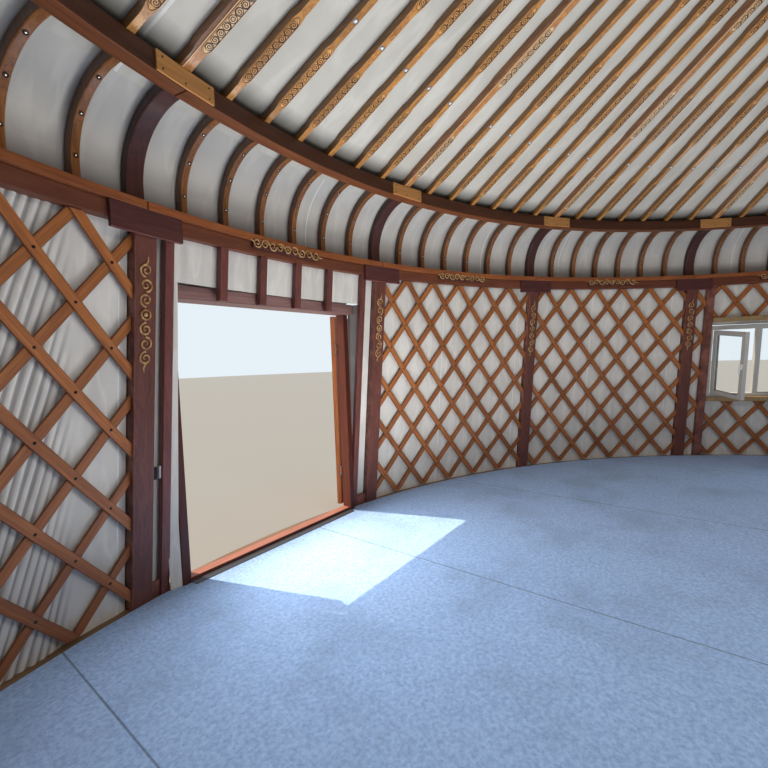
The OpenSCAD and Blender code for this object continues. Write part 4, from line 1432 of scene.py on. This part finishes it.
# %% Recipe for carved scrolls
carved, c_in, c_out = recipe("carved_scrolls", {"U": "value", "V": "value", "Cell": "value",
                                                "Pitch": "value", "Reach": "value"},
                             {"Raised": "value"})
cells = calc(carved, "DIVIDE", c_in["U"], c_in["Cell"])
cell_no = calc(carved, "ROUND", cells)
cu = calc(carved, "MULTIPLY", calc(carved, "SUBTRACT", cells, cell_no), c_in["Cell"])
side_of = calc(carved, "SIGN", calc(carved, "ADD", c_in["U"], 0.00001))
odd = calc(carved, "MULTIPLY_ADD", calc(carved, "PINGPONG", cell_no, 1.0), 2.0, -1.0)
hand = calc(carved, "MULTIPLY", side_of, odd)
rho = length2(carved, cu, c_in["V"])
theta = calc(carved, "ARCTAN2", calc(carved, "MULTIPLY", c_in["V"], hand),
             calc(carved, "MULTIPLY", cu, side_of))
spiral = calc(carved, "ADD", calc(carved, "DIVIDE", rho, c_in["Pitch"]),
              calc(carved, "DIVIDE", theta, math.tau))
middle = calc(carved, "COMPARE", cell_no, 0.0, 0.1)
unwound = calc(carved, "MULTIPLY", theta, -1 / math.tau)
winding = calc(carved, "MULTIPLY_ADD", middle, unwound, spiral)
crest = fit(carved, calc(carved, "PINGPONG", winding, 0.5), 0.19, 0.26)
inside = fit(carved, rho, c_in["Reach"], calc(carved, "MULTIPLY", c_in["Reach"], 0.94))
corner = fit(carved, rho, calc(carved, "MULTIPLY", c_in["Reach"], 1.14),
             calc(carved, "MULTIPLY", c_in["Reach"], 1.20))
feed(carved, c_out["Raised"],
     calc(carved, "MAXIMUM", calc(carved, "MULTIPLY", crest, inside), corner))


print("recipe", carved.name, "gives", [s.name for s in c_out if s.name])

# %% [markdown]
# ## Finishes of the carved panels
# The raised work is varnished and pale, and the ground between is stained dark.
# A rim follows the panel's outline, and a bump gives the edges of the work their light.

# %% Finishes for carved panels
def carved_finish(name, raised, sunk):
    made, tree, shader = principled(name, 0.40, Coat_Weight=0.45, Coat_Roughness=0.18)
    u, v = on_map(tree, "on_panel")
    scroll = use(tree, carved, U=u, V=v, Cell=0.047, Pitch=0.0108, Reach=0.0200)["Raised"]
    rim = fit(tree, calc(tree, "ABSOLUTE", v), 0.0228, 0.0234)
    end = fit(tree, calc(tree, "ABSOLUTE", u), 0.2080, 0.2110)
    high = calc(tree, "MAXIMUM", scroll, calc(tree, "MAXIMUM", rim, end))
    wood = use(tree, grain, Long=u, Wide=v, Deep=0.0, Piece=attribute(tree, "tone"),
               Light=raised, Dark=tuple(c * 0.78 for c in raised[:3]) + (1,), Spread=0.30)
    feed(tree, shader.inputs["Base Color"], mix(tree, high, sunk, wood["Colour"]))
    feed(tree, shader.inputs["Roughness"], fit(tree, high, 0.0, 1.0, 0.60, 0.32))
    bump(tree, shader, high, 0.9, 0.0025)
    return made


carved_look = carved_finish("carved_pole", tint(224, 166, 98), tint(62, 30, 17))
# The rafters' carving is a paler copy: painted reflection, for the gloss that catches the bright
# floor
rafter_carving_painted_gloss = carved_finish("carved_rafter", tint(248, 210, 160), tint(62, 31, 18))
groove_look = principled("carved_groove", 0.6, Base_Color=tint(56, 28, 18))[0]
print("carved finishes:", carved_look.name, rafter_carving_painted_gloss.name)

# %% [markdown]
# ## One carved panel
# A panel is a flat block with both ends drawn to points.
# Its face is inset twice, and the second inset is sunk, which leaves a groove all round.
# A UV map in metres lets the scrolls keep their size on every panel.

# %% Model one carved panel
PANEL_L = 0.470


def panel(name, width, look_for):
    piece = block(name, (PANEL_L, width, 0.0045), (0, 0, 0.00225))
    bpy.ops.object.mode_set(mode="EDIT")
    choose(piece, "FACE", lambda m, n: n.z < -0.5)
    bpy.ops.mesh.delete(type="FACE")
    choose(piece, "EDGE", lambda m, d: abs(d.x) > 0.9)
    bpy.ops.mesh.subdivide(number_cuts=6)
    choose(piece, "VERT", lambda m, n: 0.15 < abs(m.x) < 0.18)
    bpy.ops.transform.resize(value=(1.27, 1, 1))
    choose(piece, "VERT", lambda m, n: 0.08 < abs(m.x) < 0.12)
    bpy.ops.transform.resize(value=(1.95, 1.0, 1))
    choose(piece, "VERT", lambda m, n: abs(m.x) > 0.23)
    bpy.ops.transform.resize(value=(1, 0.34, 1))
    choose(piece, "VERT", lambda m, n: 0.205 < abs(m.x) < 0.22)
    bpy.ops.transform.resize(value=(1.03, 0.74, 1))
    choose(piece, "FACE", lambda m, n: n.z > 0.5)
    bpy.ops.mesh.inset(thickness=0.0024, depth=0.0)
    bpy.ops.mesh.inset(thickness=0.0034, depth=-0.0015)
    piece.data.materials.append(look_for)
    piece.data.materials.append(groove_look)
    choose(piece, "FACE", lambda m, n: 0.3 < n.z < 0.97)
    piece.active_material_index = 1
    bpy.ops.object.material_slot_assign()
    bpy.ops.object.mode_set(mode="OBJECT")
    marks = piece.data.uv_layers.new(name="on_panel")
    for loop in piece.data.loops:
        spot = piece.data.vertices[loop.vertex_index].co
        marks.data[loop.index].uv = (spot.x, spot.y)
    return piece


narrow_panel = panel("pole_panel", 0.051, carved_look)
wide_panel = panel("rafter_panel", 0.054, rafter_carving_painted_gloss)
print("a carved panel has", len(narrow_panel.data.polygons), "faces")

# %% [markdown]
# ## Panels on every pole
# A frame under a pole has its axes up the slope, across the pole and down into the room.
# Each pole has four panels, and each panel a chance tone, because no two boards match.

# %% Set the panels under the swellings
def under_pole(a, s, off=0.0):
    """A frame under a pole: x up the slope, y across, z down into the room"""
    r = POLE_FOOT_R - s * math.cos(ROOF_SLOPE)
    h = KNEE + s * math.sin(ROOF_SLOPE)
    up = Vector((-math.cos(a) * math.cos(ROOF_SLOPE), -math.sin(a) * math.cos(ROOF_SLOPE),
                 math.sin(ROOF_SLOPE)))
    beneath = Vector((-math.cos(a) * math.sin(ROOF_SLOPE), -math.sin(a) * math.sin(ROOF_SLOPE),
                      -math.cos(ROOF_SLOPE)))
    side = beneath.cross(up)
    turn = Matrix((up, side, beneath)).transposed().to_4x4()
    return Matrix.Translation(at(r, a, h) + beneath * off) @ turn


def rib_a(k, j):
    return mid_a(k) + (j - (RIBS - 1) / 2) * RIB_STEP


SWELL_FIRST, SWELL_PITCH, SWELL_HALF = 0.215, 0.935, 0.260
swellings = [SWELL_FIRST + SWELL_PITCH * i + SWELL_HALF for i in range(4)]
pole_angles = [rib_a(k, j) for k in range(BAYS) for j in range(RIBS)]
rng = random.Random(11)
rafter_angles = [post_a(k) for k in range(BAYS)]
aside = Matrix.Translation((0, -0.016, 0))
for name, model, places in (
        ("pole_carving", narrow_panel, [under_pole(a, s) for a in pole_angles for s in swellings]),
        ("rafter_carving", wide_panel,
         [under_pole(a, s) @ aside for a in rafter_angles for s in swellings])):
    made = finished(copied(model, name, places, rng), "frame", "pole_timber", sharp=30)
    print(name, len(made.data.polygons), "faces")
discard(narrow_panel, wide_panel)

# %% [markdown]
# ## A painted highlight along the rafters
# A main rafter is a carved pole beside a deep dark board, whose shaded side is painted darker, and
# a thin pale strip between them is a painted highlight for the light caught by that board's lower
# edge.
# The strip is one long block with rounded lower edges, copied to the sixteen rafters.
# The bead is one long block with rounded lower edges, copied to the sixteen rafters.

# %% Model the pale strip of painted highlight and set it under each rafter
RAFTER_L = (POLE_FOOT_R - CROWN_R) / math.cos(ROOF_SLOPE)
# Painted highlight: a pale strip standing for the light caught along the dark board's lower edge
bead = block("bead", (RAFTER_L - 0.09, 0.006, 0.005), (RAFTER_L / 2, 0.0205, 0.0020))
eased(bead, 0.0018, 2, lambda m, d: abs(d.x) > 0.9 and m.z > 0.003)
painted_highlight_look = principled("painted_highlight_strip", 0.30, Base_Color=tint(226, 190, 146), Coat_Weight=0.5)[0]
finished(copied(bead, "rafter_painted_highlights", [under_pole(a, 0.0) for a in rafter_angles]),
         "frame", "pole_timber", painted_highlight_look)
discard(bead)
print("painted_highlight_strips:", len(rafter_angles), "of", round(RAFTER_L, 2), "m")

# %% [markdown]
# ## Spot lights in the wood
# Small round spot lights are let into the narrow parts of the poles and into the ribs.
# Each is a bright metal ring with a lens sunk in it, and a core whose faint glow is a painted
# highlight.

# %% Model a spot light and set it along poles and ribs
bright_ring = smooth_finish("bright_ring", tint(206, 206, 202), 0.22, 400.0, 0.06, Metallic=1.0)
bronze_ring = smooth_finish("bronze_ring", tint(126, 96, 66), 0.30, 400.0, 0.10, Metallic=1.0)
pale_lens = principled("pale_lens", 0.15, Base_Color=tint(196, 198, 194), Coat_Weight=0.8)[0]
dark_lens = principled("dark_lens", 0.08, Base_Color=tint(58, 44, 36), Coat_Weight=1.0)[0]
# Painted light: the core glows faintly, for the bright glint at each spot's centre
glint_glow_look = principled("glowing_glint_core", 0.3, Base_Color=tint(236, 234, 226),
                       Emission_Color=(1, 0.97, 0.90, 1), Emission_Strength=0.5)[0]


def spot_light(name, radius, *materials):
    """A ring, a sunk lens and a raised core that glows faintly as a painted highlight, each with
    its own finish
    """
    piece = drum(name, 12, radius, 0.0035)
    for material in materials:
        piece.data.materials.append(material)
    choose(piece, "FACE", lambda m, n: n.z > 0.5)
    bpy.ops.mesh.inset(thickness=radius * 0.24, depth=0.0014)
    bpy.ops.mesh.inset(thickness=radius * 0.08, depth=-0.0030)
    piece.active_material_index = 1
    bpy.ops.object.material_slot_assign()
    bpy.ops.mesh.inset(thickness=radius * 0.38, depth=0.0012)
    piece.active_material_index = 2
    bpy.ops.object.material_slot_assign()
    bpy.ops.object.mode_set(mode="OBJECT")
    return piece


RIB_BEND = 0.410


def on_rib(a, bend):
    """A frame on a rib's inner side, at an angle up its bend"""
    out, up = math.cos(bend), math.sin(bend)
    beneath = Vector((-math.cos(a) * out, -math.sin(a) * out, -up))
    side = Vector((-math.sin(a), math.cos(a), 0))
    turn = Matrix((side, beneath.cross(side), beneath)).transposed().to_4x4()
    return Matrix.Translation(at(BEND_R + RIB_BEND * out, a, BEND_H + RIB_BEND * up)) @ turn


big = spot_light("spot_big", 0.0175, bright_ring, pale_lens, glint_glow_look)
small = spot_light("spot_small", 0.0125, bronze_ring, dark_lens, glint_glow_look)
for name, model, places in (
        ("pole_lights", big, [under_pole(a, 0.905, -0.001) for a in pole_angles]),
        ("rib_lights", small, [on_rib(a, math.radians(bend)) for a in pole_angles
                               for bend in (5, 34, 63)])):
    finished(copied(model, name, places), "frame", "hinge_steel")
    print(name, len(places), "lights")
discard(big, small)

# %% [markdown]
# ## Gilded scrolls on posts and ring
# A chain of carved scrolls is fixed to each post, and a level one to the ring in mid bay.
# A scroll is a curve wound inward, with a bevel for its body, so a curve object makes it.
# It becomes a mesh before it is placed, and its body is flattened as carved work is.

# %% Helpers for winding scrolls
def scroll_points(reach, turns, hand, start, count=20):
    points = []
    for i in range(count):
        t = i / (count - 1)
        rho = reach * (1 - t) ** 0.85 + reach * 0.14
        theta = start + hand * math.tau * turns * t
        points.append((rho * math.cos(theta), rho * math.sin(theta), 1.15 - 0.55 * t))
    return points


def wound(name, points, body):
    data = bpy.data.curves.new(name, "CURVE")
    data.dimensions, data.bevel_depth, data.bevel_resolution = "3D", body, 1
    data.use_fill_caps = True
    line = data.splines.new("POLY")
    line.points.add(len(points) - 1)
    for knot, (px, py, wide) in zip(line.points, points):
        knot.co, knot.radius = (px, py, 0, 1), wide
    piece = bpy.data.objects.new(name, data)
    bpy.context.scene.collection.objects.link(piece)
    only(piece)
    bpy.ops.object.convert(target="MESH")
    piece.data.transform(Matrix.Scale(0.75, 4, (0, 0, 1)))
    return piece


def chain_of_scrolls(name, length, units, reach, body):
    """Scrolls up the y axis, the upper ones mirrored below a bead, with a hook at each end"""
    pitch = length / (units + 1)
    parts = []
    for i in range(units):
        y = (i - (units - 1) / 2) * pitch
        if i == units // 2 and units % 2:
            bpy.ops.mesh.primitive_torus_add(major_radius=reach * 0.80, minor_radius=body,
                                             major_segments=18, minor_segments=6)
            part = bpy.context.object
            bpy.ops.mesh.primitive_uv_sphere_add(segments=12, ring_count=6, radius=reach * 0.36)
            bead = bpy.context.object
            bead.data.transform(Matrix.Scale(0.6, 4, (0, 0, 1)))
            merged([part, bead])
        else:
            up = 1 if y > 0 else -1
            turn = 1 if i % 2 else -1
            part = wound(name, scroll_points(reach, 1.45, turn * up, -up * math.pi / 2), body)
        part.data.transform(Matrix.Translation((0, y, 0)))
        parts.append(part)
    for up in (1, -1):
        foot = up * (length / 2 - pitch * 0.62)
        hook = [(0.35 * reach * math.sin(2.6 * t) * up, foot + up * pitch * 0.62 * t, 1.2 - 0.8 * t)
                for t in (0, 0.25, 0.5, 0.75, 1.0)]
        parts.append(wound(name, hook, body))
    whole = merged(parts)
    face_outward(whole)
    return whole


print("a scroll is drawn through", len(scroll_points(1, 1, 1, 0)), "points")

# %% [markdown]
# ## Gilding, and both ornaments
# The gilding is dull and worn to the wood in places, which a cloud decides.
# The chain for the posts stays flat, and the one for the ring is bent round it.

# %% Build both ornaments
def gilt_finish():
    made, tree, shader = principled("gilt_carving", 0.42, Coat_Weight=0.15, Metallic=0.15)
    place = where(tree)
    worn = fit(tree, cloud(tree, place, 34.0, 4.0, 0.6), 0.42, 0.62)
    fine = cloud(tree, place, 260.0, 2.0, 0.5)
    feed(tree, shader.inputs["Base Color"],
         mix(tree, worn, tint(204, 166, 112), tint(142, 100, 58)))
    feed(tree, shader.inputs["Roughness"], fit(tree, worn, 0.0, 1.0, 0.34, 0.56))
    bump(tree, shader, fine, 0.4, 0.0008)
    return made


gilt = gilt_finish()
FIXED_AT, POST_MIDDLE, RING_MIDDLE = -0.0035, 1.861, 2.451
mid_bays = [Matrix.Rotation(mid_a(k), 4, "Z") for k in range(BAYS)]
chain = chain_of_scrolls("post_chain", 0.70, 7, 0.036, 0.0062)
fronts = [on_face(post_a(k), POST_MIDDLE, FIXED_AT) for k in range(BAYS)]
post_scrolls = finished(copied(chain, "post_scrolls", fronts), "frame", "pole_timber", gilt,
                        sharp=50)
discard(chain)
chain = chain_of_scrolls("ring_chain", 0.745, 9, 0.033, 0.0060)
for vertex in chain.data.vertices:
    height, along, out = vertex.co
    vertex.co = at(RING_R + FIXED_AT - out, along / RING_R, RING_MIDDLE + height)
ring_scrolls = finished(copied(chain, "ring_scrolls", mid_bays), "frame", "pole_timber", gilt,
                        sharp=50)
discard(chain)
print("scroll faces:", len(post_scrolls.data.polygons), len(ring_scrolls.data.polygons))

# %% [markdown]
# ## The board behind the ring's scrolls
# The cap of the ring stands forward of its rail, so the scrolls need a packing board below it.
# The board is bent to the ring: a long block, cut across many times and wrapped.

# %% Pack out the rail behind the scrolls
def wrapped_board(name, long, deep, tall, r_front, h_low, cuts):
    piece = block(name, (long, deep, tall), (0, deep / 2, tall / 2))
    bpy.ops.object.mode_set(mode="EDIT")
    choose(piece, "EDGE", lambda m, d: abs(d.x) > 0.9 and m.y < deep / 2)
    bpy.ops.mesh.bevel(offset=0.003, segments=2)
    choose(piece, "EDGE", lambda m, d: abs(d.x) > 0.9)
    bpy.ops.mesh.subdivide(number_cuts=cuts)
    bpy.ops.object.mode_set(mode="OBJECT")
    for vertex in piece.data.vertices:
        along, out, up = vertex.co
        vertex.co = at(r_front + out, along / r_front, h_low + up)
    face_outward(piece)
    return piece


model = wrapped_board("packing", 0.66, 0.0225, 0.050, 5.7550, 2.4145, 7)
finished(copied(model, "ring_packing", mid_bays), "frame", "red_timber", looks["bolsters"])
discard(model)
print("packing boards:", BAYS)
# %% [markdown]
# ## Small fastenings and fittings
# Screws hold the splice plates to the ring and the poles' feet to their seats.
# A screw is a shallow drum, copied to its places like everything that repeats here.

# %% Screws on plates and poles
dark_metal = smooth_finish("dark_metal", tint(46, 40, 38), 0.42, 300.0, 0.10, Metallic=0.8)
white_plastic = smooth_finish("white_plastic", tint(228, 229, 228), 0.36, amount=0.02)
PLATE_LOW_EDGE, PLATE_TOP_EDGE = (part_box("splice_plates")[i][2] for i in (0, 1))
PLATE_R = UPPER_R - 0.0125


def on_ring(a, r, z):
    """A frame on an upright round face: x to the right, y up, z into the room"""
    outward = Vector((math.cos(a), math.sin(a), 0))
    right = Vector((math.sin(a), -math.cos(a), 0))
    turn = Matrix((right, Vector((0, 0, 1)), -outward)).transposed().to_4x4()
    return Matrix.Translation((r * math.cos(a), r * math.sin(a), z)) @ turn


screw = drum("screw", 8, 0.0052, 0.0016)
bpy.ops.object.mode_set(mode="OBJECT")
rows = (PLATE_LOW_EDGE + 0.022, PLATE_TOP_EDGE - 0.022)
places = [on_ring(post_a(k) + side * 0.145 / PLATE_R, PLATE_R, z)
          for k in range(BAYS) for side in (-1, 1) for z in rows]
places += [on_ring(post_a(k) + 0.01 / PLATE_R, PLATE_R, rows[0]) for k in range(BAYS)]
places += [under_pole(a, 0.060, -0.0015) for a in pole_angles]
finished(copied(screw, "screws", places), "frame", "hinge_steel", dark_metal)
discard(screw)
print("screws:", len(places))

# %% [markdown]
# ## Boards and a strip beside the door
# Short skirting boards close the wall between the corner posts and the door studs.
# A dark grey strip along the threshold is a painted shadow: the shadow that the threshold casts on
# the sunlit carpet.
# A small catch sits on the cloth between the post and the stud left of the door.

# %% Skirting, strip and catch
# The studs beside the door frame stand at these two angles from its middle
BOARD_R = face_r(0.05)
for side, stud in (("left", math.radians(9.7)), ("right", math.radians(-9.0))):
    post = math.copysign(BAY / 2, stud)
    long = abs(post - stud) * BOARD_R - 0.109
    board = block("skirting_" + side, (long, 0.100, 0.020), (0, 0.052, -0.026))
    eased(board, 0.006, 2, lambda m, d: abs(d.x) > 0.9 and m.y > 0.09 and m.z > -0.03)
    middle = DOOR + (post + stud) / 2 - math.copysign(0.043 / 2, stud) / BOARD_R
    board.data.transform(on_face(middle, 0.0))
    finished(board, "frame", "maroon_timber", looks["posts"])

threshold_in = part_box("door_threshold")[1][1]
# Painted shadow: a thin grey strip on the carpet where the threshold's shadow falls
shadow_strip = block("threshold_shadow_strip", (1.690, 0.072, 0.005), (0, threshold_in + 0.0365, FLOOR + 0.0025))
eased(shadow_strip, 0.003, 2, lambda m, d: abs(d.x) > 0.9 and m.z > FLOOR + 0.003)
finished(shadow_strip, "frame", "hinge_steel",
         smooth_finish("shadow_strip_grey", tint(72, 72, 79), 0.50, 90.0, 0.10, 0.0006))

CATCH_H = 0.850
for name, a, look_for in (("catch_keeper", -79.63, dark_metal),
                          ("catch_body", -80.02, white_plastic)):
    part = eased(block(name, (0.024, 0.084, 0.014), (0, 0, -0.026)), 0.002, 1)
    part.data.transform(on_face(math.radians(a), CATCH_H))
    finished(part, "frame", "hinge_steel", look_for)
print("the carpet ends at", round(threshold_in, 3))

# %% [markdown]
# ## Places in a window
# A window's frame leans with the wall, and its three lights stand side by side.
# One of them is a casement, hinged on its outer edge, and the left window's stands open.
# Frames in the window and on its casement put every fitting in its place on both.

# %% Frames in the windows
WINDOW_R, FRAME_BACK, FRAME_D = 5.9969, 0.057, 0.062
LIGHT_LEFT, LIGHT_LOW, LIGHT_W, LIGHT_H, MULLION = 0.820, 0.8963, 0.50667, 0.8865, 0.060
SASH_W, SASH_D, SASH_GAP = 0.055, 0.050, 0.004
CASEMENT_OPEN = 72
IN_REBATE = -0.003


def in_window(k):
    """A frame in a window: x outward, y along the wall, z up the lean"""
    return (Matrix.Rotation(mid_a(k), 4, "Z") @ Matrix.Translation((WINDOW_R, 0, FLOOR))
            @ Matrix.Rotation(-LEAN, 4, "Y"))


def light_left(i):
    return LIGHT_LEFT - i * (LIGHT_W + MULLION)


def on_casements(*spots):
    """Frames on both casements: x outward, y from the hinge edge, z up. The left one is open"""
    found = []
    for k in WINDOW_BAYS:
        mirror, swing = (1, -CASEMENT_OPEN) if k > 0 else (-1, 0)
        hinge = (FRAME_BACK, mirror * (light_left(0) - SASH_GAP), LIGHT_LOW + SASH_GAP)
        leaf = (in_window(k) @ Matrix.Translation(hinge)
                @ Matrix.Rotation(math.radians(swing), 4, "Z"))
        found += [leaf @ Matrix.Translation((x, mirror * y, z)) for x, y, z in spots]
    return found


print("a window's lights start at", [round(light_left(i), 3) for i in range(3)])

# %% [markdown]
# ## Gaskets
# Each pane sits in a black rubber gasket, which shows as a thin dark line round it.
# A thin block without its back, its face opened by an inset, is such a gasket.

# %% Gaskets round the panes
def gasket(name, wide, tall):
    piece = block(name, (0.003, wide, tall))
    bpy.ops.object.mode_set(mode="EDIT")
    choose(piece, "FACE", lambda m, n: n.x > 0.5)
    bpy.ops.mesh.delete(type="FACE")
    choose(piece, "FACE", lambda m, n: n.x < -0.5)
    bpy.ops.mesh.inset(thickness=0.007, depth=0.0)
    bpy.ops.mesh.delete(type="FACE")
    bpy.ops.object.mode_set(mode="OBJECT")
    return piece


rubber = principled("black_rubber", 0.55, Base_Color=tint(34, 34, 36))[0]
fixed_gasket = gasket("fixed_gasket", LIGHT_W - 0.001, LIGHT_H - 0.001)
pane_w, pane_h = LIGHT_W - 2 * (SASH_GAP + SASH_W), LIGHT_H - 2 * (SASH_GAP + SASH_W)
sash_gasket = gasket("sash_gasket", pane_w - 0.001, pane_h - 0.001)
places = [in_window(k) @ Matrix.Translation((FRAME_BACK + FRAME_D / 2 + IN_REBATE,
                                             (1 if k > 0 else -1) * (light_left(i) - LIGHT_W / 2),
                                             LIGHT_LOW + LIGHT_H / 2))
          for k in WINDOW_BAYS for i in (1, 2)]
finished(copied(fixed_gasket, "fixed_gaskets", places), "frame", "window_plastic", rubber)
places = on_casements((SASH_D / 2 + IN_REBATE, -SASH_W - pane_w / 2, SASH_W + pane_h / 2))
finished(copied(sash_gasket, "sash_gaskets", places), "frame", "window_plastic", rubber)
discard(fixed_gasket, sash_gasket)

print("gaskets:", 3 * len(WINDOW_BAYS))

# %% [markdown]
# ## Handles and hinges
# A casement has a lever handle on its free edge and two barrel hinges on the other.
# The lever is two blocks with rounded edges, a boss and an arm, joined into one.

# %% Handles and hinges of the casements
lever = merged([eased(block("lever", (0.018, 0.028, 0.070), (-0.009, 0, 0)), 0.004, 2),
                eased(block("arm", (0.014, 0.020, 0.120), (-0.027, 0, -0.040)), 0.005, 3)])
free_edge = LIGHT_W - 2 * SASH_GAP - SASH_W / 2
places = on_casements((0, -free_edge, LIGHT_H / 2 - SASH_GAP))
finished(copied(lever, "window_handles", places), "frame", "window_plastic", white_plastic)
discard(lever)
barrel = drum("barrel", 10, 0.0075, 0.070)
bpy.ops.object.mode_set(mode="OBJECT")
places = on_casements((-0.004, 0.001, 0.10), (-0.004, 0.001, 0.70))
finished(copied(barrel, "window_hinges", places), "frame", "window_plastic", white_plastic)
discard(barrel)
print("window fittings on", len(WINDOW_BAYS), "windows")
